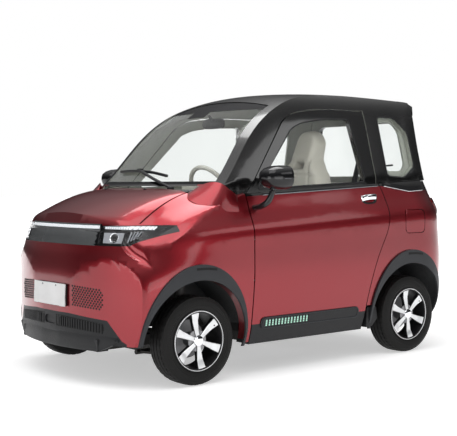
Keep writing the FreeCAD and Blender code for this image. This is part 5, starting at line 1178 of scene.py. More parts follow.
def make_handle(name, side):
    """Shape one door's handle: a shallow cup and the bowed grip over it."""
    slope, half_cup, cup_high, half_grip, bow = 0.035, 0.066, 0.030, 0.062, 0.026
    skin = caster("door_panel_" + name)
    way = Vector((-side, 0.0, 0.0))
    bm = bmesh.new()
    centre, normal = skin(Vector((side * BESIDE_X, 0.540, 0.985)), way)
    along, up = Vector((0.0, 1.0, slope)).normalized(), Vector((0.0, -slope, 1.0)).normalized()
    cup = []
    for share, lift in ((1.0, -0.002), (0.97, 0.0022), (0.86, 0.0026), (0.74, 0.0005), (0.4, -0.001)):
        ring = oval(centre, along, up, half_cup * share, cup_high * share, power=2.6, sides=40)
        cup.append([skin(corner + AXES[0] * side, way)[0] + normal * lift for corner in ring])
    loft(bm, cup, material=1)
    grip = []
    for index in range(25):
        t = -1 + index / 12
        base, _ = skin(centre + along * (half_grip * t) + AXES[0] * side, way)
        grip.append(base + normal * (bow * (1 - abs(t) ** 3.5)) + up * 0.006)
    sweep(bm, grip, 0.0050, 0.0170, sides=16, power=2.6)
    finished("handle_" + name, bm, "door_" + name, "chrome_trim", "chrome", "gloss",
             replaces=("door_handle_" + name,))


def make_door_edge(name, side):
    """Close the gap at the door's lower front corner."""
    front, back, low, high = -0.4195, -0.335, 0.538, 0.582
    x = side * SKIN_X
    bm = bmesh.new()
    grid = between([(x, front, low), (x, back, low)], [(x, front, high), (x, back, high)], rows=5, columns=8)
    drape(bm, grid, caster("door_panel_" + name), Vector((-side, 0.0, 0.0)), lift=0.0005, depth=0.002)
    finished("door_edge_" + name, bm, "door_" + name, "red_paint", "red")


def make_garnish(name, side):
    """Add the side strip's frame and its row of pale green bars, which glow with painted light though they
    are no lamp.
    """
    outline = ((-0.352, 0.268), (-0.338, 0.327), (0.420, 0.327), (0.420, 0.268))
    bars, first, pitch, height = 14, -0.318, 0.024, 0.2975
    body = "door_" + name
    trim = caster("door_trim_" + name)
    outward = Vector((side, 0.0, 0.0))
    path = []
    for point in rounded_outline(outline, radius=0.024):
        hit, normal = trim(Vector((side * BESIDE_X, point.x, point.y)), -outward)
        path.append(hit + normal * 0.0008)
    bm = bmesh.new()
    closed_bead(bm, path, outward, half_wide=0.0035, half_high=0.0025)
    finished("garnish_frame_" + name, bm, body, "matte_black", "flare")
    spots = []
    for index in range(bars):
        point, normal = trim(Vector((side * BESIDE_X, first + pitch * index, height)), -outward)
        _, up, _ = frame_at(normal)
        spots.append((point + normal * 0.0006, normal, up))
    # The bars' glow is painted light: they are no lamp.
    repeated("garnish_bars_" + name, spots, (0.037, 0.0105, 0.0018), 0, body, "green")


def make_door_inside(name, side):
    """Add one door's armrest, pull handle and speaker."""
    inner = caster("door_panel_" + name)
    way = Vector((-side, 0.0, 0.0))
    bm = bmesh.new()
    arm = []
    for y in (-0.24, 0.0, 0.20, 0.34):
        point, _ = inner(Vector((side * CABIN_X, y, 0.86)), -way)
        arm.append(point + way * 0.026)
    rail = curved(arm, count=24)
    sweep(bm, rail, 0.034, 0.030, sides=16, power=3.2)
    pull = [point + way * 0.030 + Vector((0.0, 0.0, 0.055)) for point in rail[4:14]]
    sweep(bm, pull, 0.009, 0.011, material=1)
    speaker = ((-0.002, 0.076), (0.006, 0.074), (0.009, 0.066), (0.005, 0.062), (0.003, 0.03))
    point, _ = inner(Vector((side * CABIN_X, -0.24, 0.50)), -way)
    loft(bm, [oval(point + way * height, AXES[1], AXES[2], radius, radius, sides=40)
              for height, radius in speaker], material=1)
    finished("door_inside_" + name, bm, "door_" + name, "cabin_plastic", "dash", "trim")


MIRROR_HOUSING = ((-0.432, 0.020, 0.014), (-0.428, 0.040, 0.028), (-0.416, 0.058, 0.043),
                  (-0.395, 0.070, 0.055), (-0.365, 0.078, 0.063), (-0.325, 0.0815, 0.067),
                  (-0.290, 0.0810, 0.0675), (-0.276, 0.078, 0.065), (-0.275, 0.070, 0.057),
                  (-0.282, 0.068, 0.055))


def make_mirror(name, side):
    """Shape one mirror: domed housing, dark band, glass and the curved foot."""
    mirror_x, mirror_z, band_z = 0.830, 1.124, 1.118
    centre = Vector((side * mirror_x, 0.0, mirror_z))
    bm = bmesh.new()
    rings = [oval(centre + FORWARD * y, AXES[0] * side, AXES[2], across, high, power=2.7, sides=44)
             for y, across, high in MIRROR_HOUSING]
    for face in loft(bm, rings):
        face.material_index = 0 if face.calc_center_median().z > band_z else 1
    glass = [oval(centre + FORWARD * y, AXES[0] * side, AXES[2], 0.0675, 0.0545, power=2.8, sides=40)
             for y in (-0.284, -0.2795)]
    loft(bm, glass, material=2)
    line = []
    for index in range(30):
        angle = math.pi * index / 29
        line.append(Vector((side * (mirror_x - 0.0805 * math.cos(angle)),
                            -0.300 - 0.122 * math.sin(angle) ** 0.8, 1.116)))
    sweep(bm, line, 0.0030, 0.0012, sides=8, material=3)
    foot = ((0.812, -0.345, 1.075), (0.808, -0.352, 1.036), (0.786, -0.364, 0.988), (0.738, -0.374, 0.962),
            (0.684, -0.378, 0.954))
    foot = curved([Vector((side * x, y, z)) for x, y, z in foot], count=26)
    sweep(bm, foot, 0.0200, 0.0165, sides=18, material=1, power=2.4, taper=False)
    finished("mirror_" + name, bm, "door_" + name, "gloss_black", "gloss", "gloss", "chrome", "silver",
             smooth=0.8, replaces=("door_mirror_" + name,))


def make_quarter_trim(name, side):
    """Add the raised black bar under a quarter light and its bright line."""
    start, length, steps, height = 0.700, 0.350, 30, 0.030
    cast = caster("rear_body", "roof", "glazing")
    way = Vector((-side, 0.0, 0.0))
    low, high = [], []
    for index in range(steps + 1):
        y = start + length * index / steps
        edge = max(base + slope * (y - origin) for origin, base, slope in QUARTER_EDGES)
        low.append(Vector((side * SKIN_X, y, edge)))
        high.append(Vector((side * SKIN_X, y, edge + height)))
    bm = bmesh.new()
    drape(bm, [low, [a.lerp(b, 0.5) for a, b in zip(low, high)], high], cast, way, lift=0.006, depth=0.009)
    path = []
    for point in low:
        hit, normal = cast(point - way, way)
        path.append(hit + normal * 0.0065)
    sweep(bm, path, 0.0020, 0.0024, sides=8, material=1)
    finished("quarter_bar_" + name, bm, "car", "gloss_black", "gloss", "chrome")


def make_quarter_lining(name, side):
    """Add the pale inner frame round a quarter light."""
    outer = rounded_outline(QUARTER, radius=0.030)
    inner = rounded_outline(QUARTER_INSIDE, radius=0.045)
    cast = caster("roof", "glazing")
    way = Vector((-side, 0.0, 0.0))
    middle = sum(outer, Vector((0.0, 0.0))) / len(outer)
    bm = bmesh.new()
    rings = []
    folds = ((outer, 1.10, 0.042), (outer, 1.10, 0.036), (inner, 1.0, 0.026), (inner, 0.99, 0.040))
    for line, grow, shift in folds:
        ring = []
        for point in line:
            point = middle + (point - middle) * grow
            hit, _ = cast(Vector((side * BESIDE_X, point.x, point.y)), way)
            ring.append(hit + way * shift)
        rings.append(ring)
    loft(bm, rings, closed=True)
    finished("quarter_lining_" + name, bm, "car", "cabin_plastic", "lining", smooth=0.5)


# Wheels

RIM_BARREL = ((-0.0695, 0.1490), (-0.0400, 0.1470), (0.0400, 0.1470), (0.0660, 0.1530), (0.0695, 0.1600),
              (0.0680, 0.1670), (0.0605, 0.1675), (0.0595, 0.1550), (-0.0595, 0.1550), (-0.0605, 0.1675),
              (-0.0695, 0.1675))
RIM_LIP = ((0.0680, 0.1590), (0.0710, 0.1600), (0.0712, 0.1625), (0.0685, 0.1640))
RIM_HUB = ((-0.047, 0.0155), (-0.047, 0.104), (-0.037, 0.104), (-0.037, 0.060), (-0.030, 0.040),
           (0.0430, 0.040), (0.0430, 0.056), (0.0480, 0.060), (0.0520, 0.056), (0.0530, 0.0155))
RIM_CAP = ((0.0440, 0.0005), (0.0440, 0.030), (0.0620, 0.0305), (0.0655, 0.0285), (0.0675, 0.022),
           (0.0690, 0.012), (0.0695, 0.0005))
SPOKE = ((0.018, 0.0105, 0.0590), (0.034, 0.0115, 0.0600), (0.055, 0.0130, 0.0580),
         (0.100, 0.0175, 0.0555), (0.112, 0.0190, 0.0560), (0.117, 0.0195, 0.0580),
         (0.148, 0.0235, 0.0650), (0.1535, 0.0245, 0.0640))
TYRE_HALF = ((0.0555, 0.1556), (0.0605, 0.158), (0.0625, 0.166), (0.0660, 0.176), (0.0685, 0.190),
             (0.0675, 0.1915), (0.0675, 0.1955), (0.0690, 0.197), (0.0680, 0.212), (0.0665, 0.2135),
             (0.0665, 0.2165), (0.0665, 0.218), (0.0610, 0.230), (0.0590, 0.2325), (0.0585, 0.2375),
             (0.0520, 0.2410), (0.0450, 0.2430), (0.0440, 0.2375), (0.0400, 0.2375), (0.0390, 0.2436),
             (0.0185, 0.2440), (0.0175, 0.2380), (0.0130, 0.2380), (0.0120, 0.2440))
CALIPER = ((-0.072, 0.074), (-0.072, 0.126), (-0.030, 0.126), (-0.024, 0.118), (-0.024, 0.080),
           (-0.032, 0.072), (-0.035, 0.106), (-0.049, 0.107), (-0.049, 0.074))


def spun(angle):
    """Return the way outwards from an axle at an angle in degrees."""
    angle = math.radians(angle)
    return Vector((0.0, math.cos(angle), math.sin(angle)))


def add_spoke(bm, centre, side, angle):
    """Add one wheel spoke with its machined face."""
    out, along = spun(angle), spun(angle + 90)
    deep = Vector((side * 0.036, 0.0, 0.0))
    rings = []
    for reach, half, lift in SPOKE:
        root = centre + out * reach
        face = Vector((side * lift, 0.0, 0.0))
        rings.append([root + deep - along * (half + 0.004), root + face * 0.96 - along * half,
                      root + face - along * (half - 0.002), root + face + along * (half - 0.002),
                      root + face * 0.96 + along * half, root + deep + along * (half + 0.004)])
    for face in loft(bm, rings):
        middle = face.calc_center_median()
        facing = face.normal.x * side > 0.55 and abs(middle.x) > WHEEL_X + 0.050
        face.material_index = 1 if facing else 0


def make_rim(name, side, y, body):
    """Dress one rim: barrel, machined lip and spokes, dark pockets, cap, bolts and valve."""
    centre = Vector((side * WHEEL_X, y, AXLE_Z))
    lean = SPOKE_LEAN * side
    bm = bmesh.new()
    lathe(bm, RIM_BARREL, centre, side=side)
    lathe(bm, RIM_LIP, centre, material=1, side=side)
    lathe(bm, RIM_HUB, centre, segments=64, material=2, side=side)
    lathe(bm, RIM_CAP, centre, segments=48, material=3, closed=False, side=side)
    for index in range(SPOKES):
        add_spoke(bm, centre, side, 90 + lean + 360 / SPOKES * index)
    finished("rim_" + name, bm, body, "machined_alloy", "pocket", "alloy", "cast", "chrome", smooth=0.5,
             replaces=("wheel_" + name,))
    spots = []
    for index in range(BOLTS):
        out = spun(60 + lean + 360 / BOLTS * index)
        spots.append((centre + out * 0.047 + AXES[0] * (side * 0.0530), AXES[0] * side, out))
    repeated("wheel_bolts_" + name, spots, (0.0065, 0.0065, 0.010), 6, body, "silver")
    bm = bmesh.new()
    valve = centre + Vector((side * 0.050, 0.139 * math.cos(0.62), 0.139 * math.sin(0.62)))
    sweep(bm, (valve, valve + Vector((side * 0.014, -0.006, -0.008))), 0.0035, 0.0035, sides=10)
    finished("wheel_valve_" + name, bm, body, "matte_black", "trim")


def make_tread(name, side, y, body):
    """Shape one tyre with its grooves, shoulder cuts and slanted tread."""
    segments, blocks_each, cut_depth, slant = 168, 4, 0.0045, 0.010
    shoulder_x, shoulder_radius, half_width = 0.0385, 0.2385, 0.06
    centre = Vector((side * WHEEL_X, y, AXLE_Z))
    profile = list(TYRE_HALF) + [(-x, radius) for x, radius in reversed(TYRE_HALF)]
    bm = bmesh.new()
    rings = []
    for index in range(segments):
        angle = 2 * math.pi * index / segments
        cut = index % blocks_each == blocks_each - 1
        ring = []
        for x, radius in profile:
            if cut and abs(x) > shoulder_x and radius > shoulder_radius:
                radius -= cut_depth
            turned = angle + (slant if x > 0 else -slant) * (abs(x) / half_width)
            ring.append(centre + Vector((side * x, radius * math.cos(turned), radius * math.sin(turned))))
        rings.append(ring)
    loft(bm, rings, capped=False, closed=True)
    finished("tread_" + name, bm, body, "tyre_rubber", "tyre", smooth=0.5, replaces=("tyre_" + name,))


def make_caliper(name, side, y, carrier):
    """Add the brake caliper that shows behind one wheel's spokes."""
    steps, start, length = 12, 120, 48
    centre = Vector((side * WHEEL_X, y, AXLE_Z))
    bm = bmesh.new()
    rings = []
    for index in range(steps + 1):
        out = spun(start + length * index / steps)
        rings.append([centre + out * radius + Vector((side * x, 0.0, 0.0)) for x, radius in CALIPER])
    loft(bm, rings)
    finished("caliper_" + name, bm, carrier, "cast_case", "silver", smooth=0.4)


# Cabin

def smoothed(bm, factor, rounds=1):
    """Smooth a bmesh's vertices."""
    for _ in range(rounds):
        bmesh.ops.smooth_vert(bm, verts=bm.verts, factor=factor, use_axis_x=True, use_axis_y=True,
                              use_axis_z=True)


def eased(value, start, length):
    """Return how far a value is past a start, as a share from 0 to 1."""
    return min(max((value - start) / length, 0.0), 1.0)


def lean_back(point):
    """Lean a front seat's back, narrow its headrest and round the headrest's top."""
    lean, narrow, round_off = 0.055, 0.34, 0.055
    middle = math.copysign(SEAT_X, point.x)
    rise = eased(point.z, start=0.98, length=0.26)
    rise = rise * rise * (3 - 2 * rise)
    away = (point.x - middle) * (1 - narrow * rise)
    crown = eased(point.z, start=1.26, length=0.14)
    back = eased(point.z, start=0.62, length=0.5)
    point.x = middle + away
    point.y += lean * back
    point.z -= round_off * crown * min(abs(away) / 0.085, 1.2) ** 2.5


def padded_copy(name, node, voxel, puff, shift=None):
    """Return a soft, crowned copy of a CAD seat with sewn channels."""
    source = bpy.data.objects.new(name + "_source", bpy.data.meshes.new(name + "_source"))
    bm = node_copy(node)
    bm.to_mesh(source.data)
    bm.free()
    bpy.context.scene.collection.objects.link(source)
    remesh = source.modifiers.new("remesh", "REMESH")
    remesh.mode = "VOXEL"
    remesh.voxel_size = voxel
    mesh = evaluated_copy(source)
    bm = bmesh.new()
    bm.from_mesh(mesh)
    bpy.data.meshes.remove(mesh)
    smoothed(bm, factor=0.5, rounds=6)
    bm.normal_update()
    for vert in bm.verts:
        vert.co += vert.normal * puff(vert.co, vert.normal)
    if shift:
        for vert in bm.verts:
            shift(vert.co)
    smoothed(bm, factor=0.4)
    for face in bm.faces:
        face.smooth = True
    result = bpy.data.meshes.new(name)
    bm.to_mesh(result)
    bm.free()
    result.materials.append(FINISHES["leather"])
    piece = placed(name, result, body_of(node), (node,))
    soft = piece.modifiers.new("soft", "SUBSURF")
    soft.levels = 1
    soft.render_levels = 1
    return piece


def groove(distance, width=0.010):
    """Return how deep a sewn channel is at a distance from its middle."""
    return math.exp(-(distance / width) ** 2)


def front_seat_puff(point, normal):
    """Crown the front seats and sew their channels."""
    x = abs(abs(point.x) - SEAT_X)
    inside = x < 0.135
    swell = 0.010
    if normal.z > 0.5 and point.z < 0.70 or normal.y < -0.5 and point.z > 0.62:
        swell += 0.006 * math.cos(min(x / 0.22, 1.0) * math.pi / 2)
        swell -= 0.013 * groove(x - 0.130)
        lines, place = ((0.0, 0.13), point.y) if point.z < 0.70 else ((0.72, 0.86, 1.00), point.z)
        if inside:
            swell -= sum(0.010 * groove(place - line) for line in lines)
        if point.z >= 0.70:
            swell -= 0.010 * groove(point.z - 1.135)
    return swell


def rear_seat_puff(point, normal):
    """Crown the rear seat and sew its channels."""
    swell = 0.008
    if normal.z > 0.5 or normal.y < -0.5:
        for line, depth in ((0.0, 0.011), (0.33, 0.009), (0.12, 0.009)):
            swell -= depth * groove(abs(point.x) - line)
    return swell


def make_seats():
    """Upholster the seats."""
    padded_copy("front_seat_cushions", "front_seats", voxel=0.009, puff=front_seat_puff, shift=lean_back)
    padded_copy("rear_seat_cushions", "rear_seat", voxel=0.010, puff=rear_seat_puff)


def ribbon(bm, points, width, half=0.023, thick=0.0012, material=0):
    """Add a flat strap along points, its width turned towards a direction."""
    rings = []
    for index, point in enumerate(points):
        way = (points[min(index + 1, len(points) - 1)] - points[max(index - 1, 0)]).normalized()
        wide = (width - way * width.dot(way)).normalized()
        out = wide.cross(way).normalized()
        rings.append([point - wide * half - out * thick, point + wide * half - out * thick,
                      point + wide * half + out * thick, point - wide * half + out * thick])
    loft(bm, rings, material=material)


def make_seat_belts():
    """Hang the front seat belts from the door pillars, with guides and buckles."""
    for name, side in SIDES:
        bm = bmesh.new()
        top = Vector((side * 0.566, 0.640, 1.380))
        path = curved((top, Vector((side * 0.558, 0.560, 1.12)), Vector((side * 0.548, 0.470, 0.80)),
                       Vector((side * 0.535, 0.380, 0.47))), count=30)
        ribbon(bm, path, FORWARD)
        down = curved((top + Vector((0.0, 0.012, 0.0)), Vector((side * 0.585, 0.680, 1.0)),
                       Vector((side * 0.600, 0.690, 0.62))), count=20)
        ribbon(bm, down, FORWARD)
        block(bm, top + Vector((0.0, 0.0, 0.014)), AXES, (0.007, 0.030, 0.020), material=1)
        block(bm, Vector((side * 0.095, 0.210, 0.600)), AXES, (0.011, 0.020, 0.052), material=1)
        finished("seat_belt_" + name, bm, "car", "matte_black", "belt", "trim", bevel=0.002)


def make_dashboard():
    """Add the dashboard's screens, vents and stalks."""
    cast = caster("dashboard")
    bm = bmesh.new()
    block(bm, Vector((HELM.x, -0.482, 1.045)), AXES, (0.110, 0.030, 0.034))
    block(bm, Vector((HELM.x, -0.451, 1.046)), AXES, (0.098, 0.003, 0.026), material=1)
    block(bm, Vector((0.0, -0.412, 0.965)), AXES, (0.115, 0.006, 0.066), material=2)
    block(bm, Vector((0.0, -0.4055, 0.965)), AXES, (0.108, 0.0018, 0.060), material=1)
    finished("dash_screens", bm, "car", "cabin_plastic", "dash", "gloss", "trim", bevel=0.004)
    # The vents are near-black slats of painted shade on the dashboard.
    spots = []
    for x in (-0.50, -0.20, 0.20, 0.50):
        for row in range(5):
            point, normal = cast(Vector((x, 1.0, 0.905 + 0.009 * row)), -FORWARD)
            spots.append((point, normal, AXES[0]))
    repeated("dash_vents", spots, (0.095, 0.0035, 0.004), 0, "car", "slot")
    bm = bmesh.new()
    for way in (1, -1):
        start = Vector((HELM.x + way * 0.028, -0.412, 1.010))
        knee, end = Vector((way * 0.060, 0.010, 0.012)), Vector((way * 0.125, 0.012, 0.024))
        sweep(bm, (start, start + knee, start + end), 0.007, 0.006)
    finished("column_stalks", bm, "car", "matte_black", "trim")


def make_wheel_pad():
    """Add the steering wheel's pad."""
    rake = math.radians(27.0)
    axis = Vector((0.0, math.cos(rake), math.sin(rake)))
    across, up = AXES[0], AXES[0].cross(axis).normalized()
    bm = bmesh.new()
    loft(bm, [oval(HELM + axis * height, across, up, wide, wide * 0.8, power=3.0)
              for height, wide in ((-0.010, 0.070), (0.010, 0.068), (0.018, 0.056), (0.021, 0.030))])
    finished("wheel_pad", bm, "helm", "cabin_plastic", "dash")


def make_inner_mirror():
    """Hang the inner mirror on its stem."""
    housing = ((-0.012, 0.085, 0.022), (-0.006, 0.105, 0.032), (0.008, 0.107, 0.033), (0.011, 0.102, 0.029))
    foot = Vector((-0.02, -0.165, 1.512))
    bm = bmesh.new()
    loft(bm, [oval(foot + Vector((0.0, 0.045 + height, -0.045)), AXES[0], AXES[2], wide, high, power=3.5)
              for height, wide, high in housing])
    stem = (foot + Vector((0.0, 0.015, 0.0)), foot + Vector((0.0, 0.040, -0.030)))
    sweep(bm, stem, 0.010, 0.010)
    finished("inner_mirror", bm, "car", "matte_black", "trim")


# Rear

def make_tail_lamp(name, side):
    """Add one tail lamp's lit strip and its smoked lens."""
    cast = caster("tail_lamps")
    way = Vector((-side, -0.35, 0.0)).normalized()
    strip = ((1.165, 0.955), (1.205, 0.935), (1.250, 0.905), (1.290, 0.880))
    low = [Vector((side * 0.6, y, z)) for y, z in strip]
    high = [Vector((side * 0.6, y - 0.004, z + 0.012)) for y, z in strip]
    bm = bmesh.new()
    drape(bm, between(low, high, rows=3, columns=16), cast, way, lift=0.002, depth=0.004)
    finished("tail_strip_" + name, bm, "car", "lamp_red", "red_led")
    low = [(side * 0.66, 1.150, 0.952), (side * 0.62, 1.262, 0.856), (side * 0.50, 1.300, 0.856)]
    high = [(side * 0.66, 1.150, 0.982), (side * 0.62, 1.235, 0.956), (side * 0.50, 1.280, 0.898)]
    bm = bmesh.new()
    drape(bm, between(low, high, rows=7, columns=24), cast, way, lift=0.010, depth=0.008)
    finished("tail_lens_" + name, bm, "car", "lamp_red", "smoke", smooth=0.9)


def make_rear_wiper():
    """Shape the rear wiper: pivot, arm and blade."""
    glass = caster("tailgate_glass")
    gate = caster("tailgate", "tailgate_glass")
    blade = []
    for x in (-0.02, 0.08, 0.18, 0.28):
        point, normal = glass(Vector((x, BEHIND_Y, 1.175 + 0.06 * (x + 0.20))), -FORWARD)
        blade.append(point + normal * 0.012)
    bm = bmesh.new()
    sweep(bm, curved(blade, count=20), 0.0075, 0.0065, sides=10)
    foot, normal = gate(Vector((0.0, BEHIND_Y, 1.100)), -FORWARD)
    across, up, normal = frame_at(normal)
    loft(bm, [oval(foot + normal * height, across, up, radius, radius, sides=24)
              for height, radius in ((-0.002, 0.024), (0.014, 0.022), (0.019, 0.014))])
    arm = (foot + normal * 0.017, foot.lerp(blade[1], 0.5) + normal * 0.022, blade[1] + normal * 0.006)
    sweep(bm, curved(arm, count=14), 0.009, 0.005, sides=10)
    finished("rear_wiper", bm, "tailgate_door", "matte_black", "trim")


def make_tailgate_latch():
    """Add the tailgate's latch handle over the plate."""
    half, end_y, low, high = 0.085, 1.3, 0.845, 0.867
    bm = bmesh.new()
    below = [(-half, end_y, low), (half, end_y, low)]
    above = [(-half, end_y, high), (half, end_y, high)]
    grid = between(below, above, rows=4, columns=12)
    drape(bm, grid, caster("tailgate"), -FORWARD, lift=0.012, depth=0.016)
    finished("tailgate_latch", bm, "tailgate_door", "gloss_black", "gloss", bevel=0.003)


# Settings

class MicrocarPaintSettings(bpy.types.PropertyGroup):
    """Colours of the body."""
    body_color: bpy.props.FloatVectorProperty(
        name="Body colour", description="Metallic paint of the body", subtype="COLOR",
        default=(0.25, 0.012, 0.019), min=0.0, max=1.0)
    flake: bpy.props.FloatProperty(
        name="Flake", description="Share of metal flake in the paint", subtype="FACTOR",
        default=0.92, min=0.0, max=1.0)


class MicrocarStageSettings(bpy.types.PropertyGroup):
    """Camera and light."""
    camera_place: bpy.props.FloatVectorProperty(
        name="Camera place", description="Where the camera stands", subtype="TRANSLATION", unit="LENGTH",
        default=(5.14677, -4.12156, 1.11215))
    camera_turn: bpy.props.FloatVectorProperty(
        name="Camera turn", description="Heading, pitch and roll of the camera", subtype="EULER",
        unit="ROTATION", default=(math.radians(-51.446), math.radians(-2.121), math.radians(-0.449)))
    camera_lens: bpy.props.FloatProperty(
        name="Lens", description="Focal length", subtype="DISTANCE_CAMERA", default=81.15, min=10.0)
    sky_strength: bpy.props.FloatProperty(
        name="Sky strength", description="How bright the sky lights the car", default=0.85, min=0.0)


# Stage

SKY_STOPS = ((0.16, (0.03, 0.03, 0.032)), (0.46, (0.25, 0.25, 0.255)), (0.80, (1.0, 1.0, 1.0)))
LAMPS = (
    ("key", (1.5, -2.5, 5.0), (0.0, -0.3, 0.6), (5.0, 3.0), 100.0),
    ("side", (6.0, -0.5, 0.9), (0.3, 0.0, 0.5), (5.0, 1.1), 40.0),
    ("nose", (1.0, -6.0, 0.9), (0.0, -0.8, 0.5), (4.0, 1.1), 36.0),
    ("cabin", (0.0, 0.2, 3.6), (0.0, 0.2, 0.9), (2.0, 2.0), 60.0),
    ("door", (4.3, 2.4, 2.7), (0.7, -0.25, 0.95), (3.0, 1.2), 18.0),
)


def area_lamp(name, location, target, size, energy):
    """Add a soft rectangular lamp that points at a target."""
    data = bpy.data.lights.new(name, "AREA")
    data.shape = "RECTANGLE"
    data.size, data.size_y = size
    data.energy = energy
    lamp = bpy.data.objects.new(name, data)
    bpy.context.scene.collection.objects.link(lamp)
    lamp.location = location
    lamp.rotation_mode = "QUATERNION"
    lamp.rotation_quaternion = (Vector(target) - Vector(location)).to_track_quat("-Z", "Y")


def make_camera(settings):
    """Add the camera at the photograph's place and angle."""
    data = bpy.data.cameras.new("camera")
    data.sensor_width = 36.0
    data.lens = settings.camera_lens
    camera = bpy.data.objects.new("camera", data)
    bpy.context.scene.collection.objects.link(camera)
    yaw, pitch, roll = settings.camera_turn
    forward = Vector((math.sin(yaw) * math.cos(pitch), math.cos(yaw) * math.cos(pitch), math.sin(pitch)))
    right = Vector((math.cos(yaw), -math.sin(yaw), 0.0))
    up = right.cross(forward)
    turned_right = right * math.cos(roll) + up * math.sin(roll)
    turned_up = up * math.cos(roll) - right * math.sin(roll)
    matrix = Matrix((turned_right, turned_up, -forward)).transposed().to_4x4()
    matrix.translation = settings.camera_place
    camera.matrix_world = matrix
    bpy.context.scene.camera = camera


def seen_by_camera(nodes, links, *kinds):
    """Return a socket that is 1 for the named kinds of ray and 0 for the others."""
    path = nodes.new("ShaderNodeLightPath")
    seen = path.outputs[kinds[0]]
    for kind in kinds[1:]:
        either = nodes.new("ShaderNodeMath")
        either.operation = "MAXIMUM"
        links.new(seen, either.inputs[0])
        links.new(path.outputs[kind], either.inputs[1])
        seen = either.outputs[0]
    return seen


def make_world():
    """Light the scene from a pale sky that is white behind the car."""
    world = bpy.data.worlds.new("studio")
    bpy.context.scene.world = world
    world.use_nodes = True
    nodes, links = world.node_tree.nodes, world.node_tree.links
    background = nodes["Background"]
    place = nodes.new("ShaderNodeTexCoord")
    split = nodes.new("ShaderNodeSeparateXYZ")
    ramp = nodes.new("ShaderNodeValToRGB")
    links.new(place.outputs["Generated"], split.inputs[0])
    links.new(split.outputs[2], ramp.inputs[0])
    ramp.color_ramp.elements.new(0.46)
    for stop, (height, color) in zip(ramp.color_ramp.elements, SKY_STOPS):
        stop.position = height
        stop.color = (*color, 1.0)
    seen = seen_by_camera(nodes, links, "Is Camera Ray", "Is Transmission Ray")
    mix = nodes.new("ShaderNodeMix")
    mix.data_type = "RGBA"
    mix.inputs[7].default_value = (1.0, 1.0, 1.0, 1.0)
    links.new(seen, mix.inputs[0])
    links.new(ramp.outputs[0], mix.inputs[6])
    links.new(mix.outputs[2], background.inputs[0])
    strength = nodes.new("ShaderNodeMapRange")
    strength.inputs["To Min"].default_value = bpy.context.scene.microcar_stage.sky_strength
    strength.inputs["To Max"].default_value = 1.0
    links.new(seen, strength.inputs["Value"])
    links.new(strength.outputs["Result"], background.inputs[1])


def make_floor():
    """Add the plain pale floor, which shows white except where the car shades it."""
    half_size, base_glow, fade, most_glow = 60.0, 0.42, 0.08, 0.55
    bm = bmesh.new()
    bmesh.ops.create_grid(bm, x_segments=1, y_segments=1, size=half_size)
    mesh = bpy.data.meshes.new("floor")
    bm.to_mesh(mesh)
    bm.free()
    floor = bpy.data.objects.new("floor", mesh)
    bpy.context.scene.collection.objects.link(floor)
    finish = Finish("pale_floor", Roughness=0.9)
    seen = seen_by_camera(finish.nodes, finish.links, "Is Camera Ray", "Is Transmission Ray", "Is Glossy Ray")
    tone = finish.noise(2.0, detail=2.0)
    finish.drive("Base Color", finish.mix(tone, (0.74, 0.74, 0.74), (0.76, 0.76, 0.76)))
    x, y, _ = finish.axes()
    squares = finish.math("ADD", finish.math("POWER", x, 2.0), finish.math("POWER", y, 2.0))
    far = finish.math("MINIMUM", finish.math("MULTIPLY", finish.math("SQRT", squares), fade), most_glow)
    finish.surface.inputs["Emission Color"].default_value = (1.0, 1.0, 1.0, 1.0)
    finish.drive("Emission Strength", finish.math("MULTIPLY", seen, finish.math("ADD", far, base_glow)))
    mesh.materials.append(finish.material)


class MICROCAR_OT_stage(bpy.types.Operator):
    """Set the camera, the light and the floor"""
    bl_idname = "microcar.stage"
    bl_label = "Stage"

    def execute(self, context):
        """Run this group."""
        scene = context.scene
        scene.view_settings.view_transform = "Standard"
        make_materials()
        make_camera(scene.microcar_stage)
        make_world()
        make_floor()
        for lamp in LAMPS:
            area_lamp(*lamp)
        return {"FINISHED"}


class MICROCAR_OT_panels(bpy.types.Operator):
    """Dress the carried-over panels and working parts"""
    bl_idname = "microcar.panels"
    bl_label = "Panels"

    def execute(self, context):
        """Run this group."""
        make_panels()
        return {"FINISHED"}


class MICROCAR_OT_front(bpy.types.Operator):
    """Add the lamps, perforations, number plate, wiper and cowl details"""
    bl_idname = "microcar.front"
    bl_label = "Front"

    def execute(self, context):
        """Run this group."""
        make_light_bar()
        for name, side in SIDES:
            make_headlamp(name, side)
        make_perforations()
        make_grille()
        make_flare_slots()
        make_valance()
        make_roof_lip()
        for name, side in SIDES:
            make_wing_bridge(name, side)
            make_sill_end(name, side)
        make_plate("front", "front_body", "car", z=0.484, facing=1.0)
        make_wiper()
        make_cowl_details()
        return {"FINISHED"}


class MICROCAR_OT_sides(bpy.types.Operator):
    """Add the doors' strips, handles, seals, garnish bars and mirrors"""
    bl_idname = "microcar.sides"
    bl_label = "Sides"

    def execute(self, context):
        """Run this group."""
        for name, side in SIDES:
            make_belt(name, side)
            make_handle(name, side)
            make_door_edge(name, side)
            make_garnish(name, side)
            make_door_inside(name, side)
            nodes = ("door_panel_" + name, "door_glass_" + name)
            make_window_seal("door_" + name, side, WINDOW, nodes, "door_" + name)
            make_window_seal("quarter_" + name, side, QUARTER, ("roof", "glazing"), "car")
            make_mirror(name, side)
            make_quarter_trim(name, side)
            make_quarter_lining(name, side)
        return {"FINISHED"}


class MICROCAR_OT_wheels(bpy.types.Operator):
    """Dress the wheels and tyres and add the brake calipers"""
    bl_idname = "microcar.wheels"
    bl_label = "Wheels"

    def execute(self, context):
        """Run this group."""
        for name, side, y, body, _ in CORNERS:
            make_rim(name, side, y, body)
            make_tread(name, side, y, body)
        for name, side, y, _, carrier in CORNERS:
            make_caliper(name, side, y, carrier)
        return {"FINISHED"}


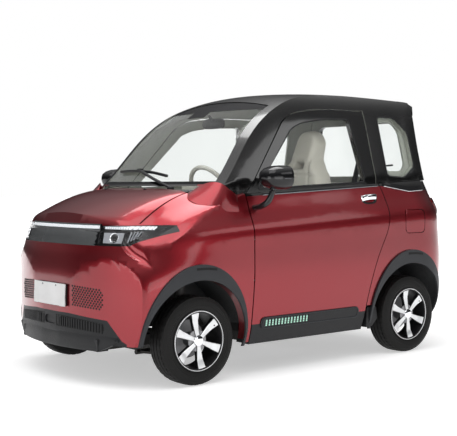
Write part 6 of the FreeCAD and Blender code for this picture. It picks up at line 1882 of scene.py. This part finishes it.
class MICROCAR_OT_cabin(bpy.types.Operator):
    """Upholster the seats and fit the belts and the dashboard's parts"""
    bl_idname = "microcar.cabin"
    bl_label = "Cabin"

    def execute(self, context):
        """Run this group."""
        make_seats()
        make_seat_belts()
        make_dashboard()
        make_wheel_pad()
        make_inner_mirror()
        return {"FINISHED"}


class MICROCAR_OT_rear(bpy.types.Operator):
    """Add the tail lamps' strips, rear plate, wiper and latch"""
    bl_idname = "microcar.rear"
    bl_label = "Rear"

    def execute(self, context):
        """Run this group."""
        for name, side in SIDES:
            make_tail_lamp(name, side)
        make_rear_wiper()
        make_tailgate_latch()
        make_plate("rear", "tailgate", "tailgate_door", z=0.745, facing=-1.0)
        return {"FINISHED"}


OPERATORS = (MICROCAR_OT_stage, MICROCAR_OT_panels, MICROCAR_OT_front, MICROCAR_OT_sides, MICROCAR_OT_wheels,
             MICROCAR_OT_cabin, MICROCAR_OT_rear)
SETTINGS = (("microcar_paint", MicrocarPaintSettings), ("microcar_stage", MicrocarStageSettings))


class MICROCAR_PT_panel(bpy.types.Panel):
    """Lists the settings of the microcar and the groups of its pieces"""
    bl_idname = "MICROCAR_PT_panel"
    bl_label = "Microcar"
    bl_space_type = "VIEW_3D"
    bl_region_type = "UI"
    bl_category = "Microcar"

    def draw(self, context):
        """Lay out the settings and the buttons."""
        for name, group in SETTINGS:
            box = self.layout.box()
            for field in group.__annotations__:
                box.prop(getattr(context.scene, name), field)
        for operator in OPERATORS:
            self.layout.operator(operator.bl_idname)


def register():
    """Register the classes and the settings."""
    for name, group in SETTINGS:
        bpy.utils.register_class(group)
        setattr(bpy.types.Scene, name, bpy.props.PointerProperty(type=group))
    for cls in (*OPERATORS, MICROCAR_PT_panel):
        bpy.utils.register_class(cls)


def unregister():
    """Take the classes and the settings away again."""
    for cls in (MICROCAR_PT_panel, *reversed(OPERATORS)):
        bpy.utils.unregister_class(cls)
    for name, group in reversed(SETTINGS):
        delattr(bpy.types.Scene, name)
        bpy.utils.unregister_class(group)


def main():
    """Build the scene."""
    register()
    for operator in OPERATORS:
        group, name = operator.bl_idname.split(".")
        getattr(getattr(bpy.ops, group), name)()


if __name__ == "__main__":
    main()
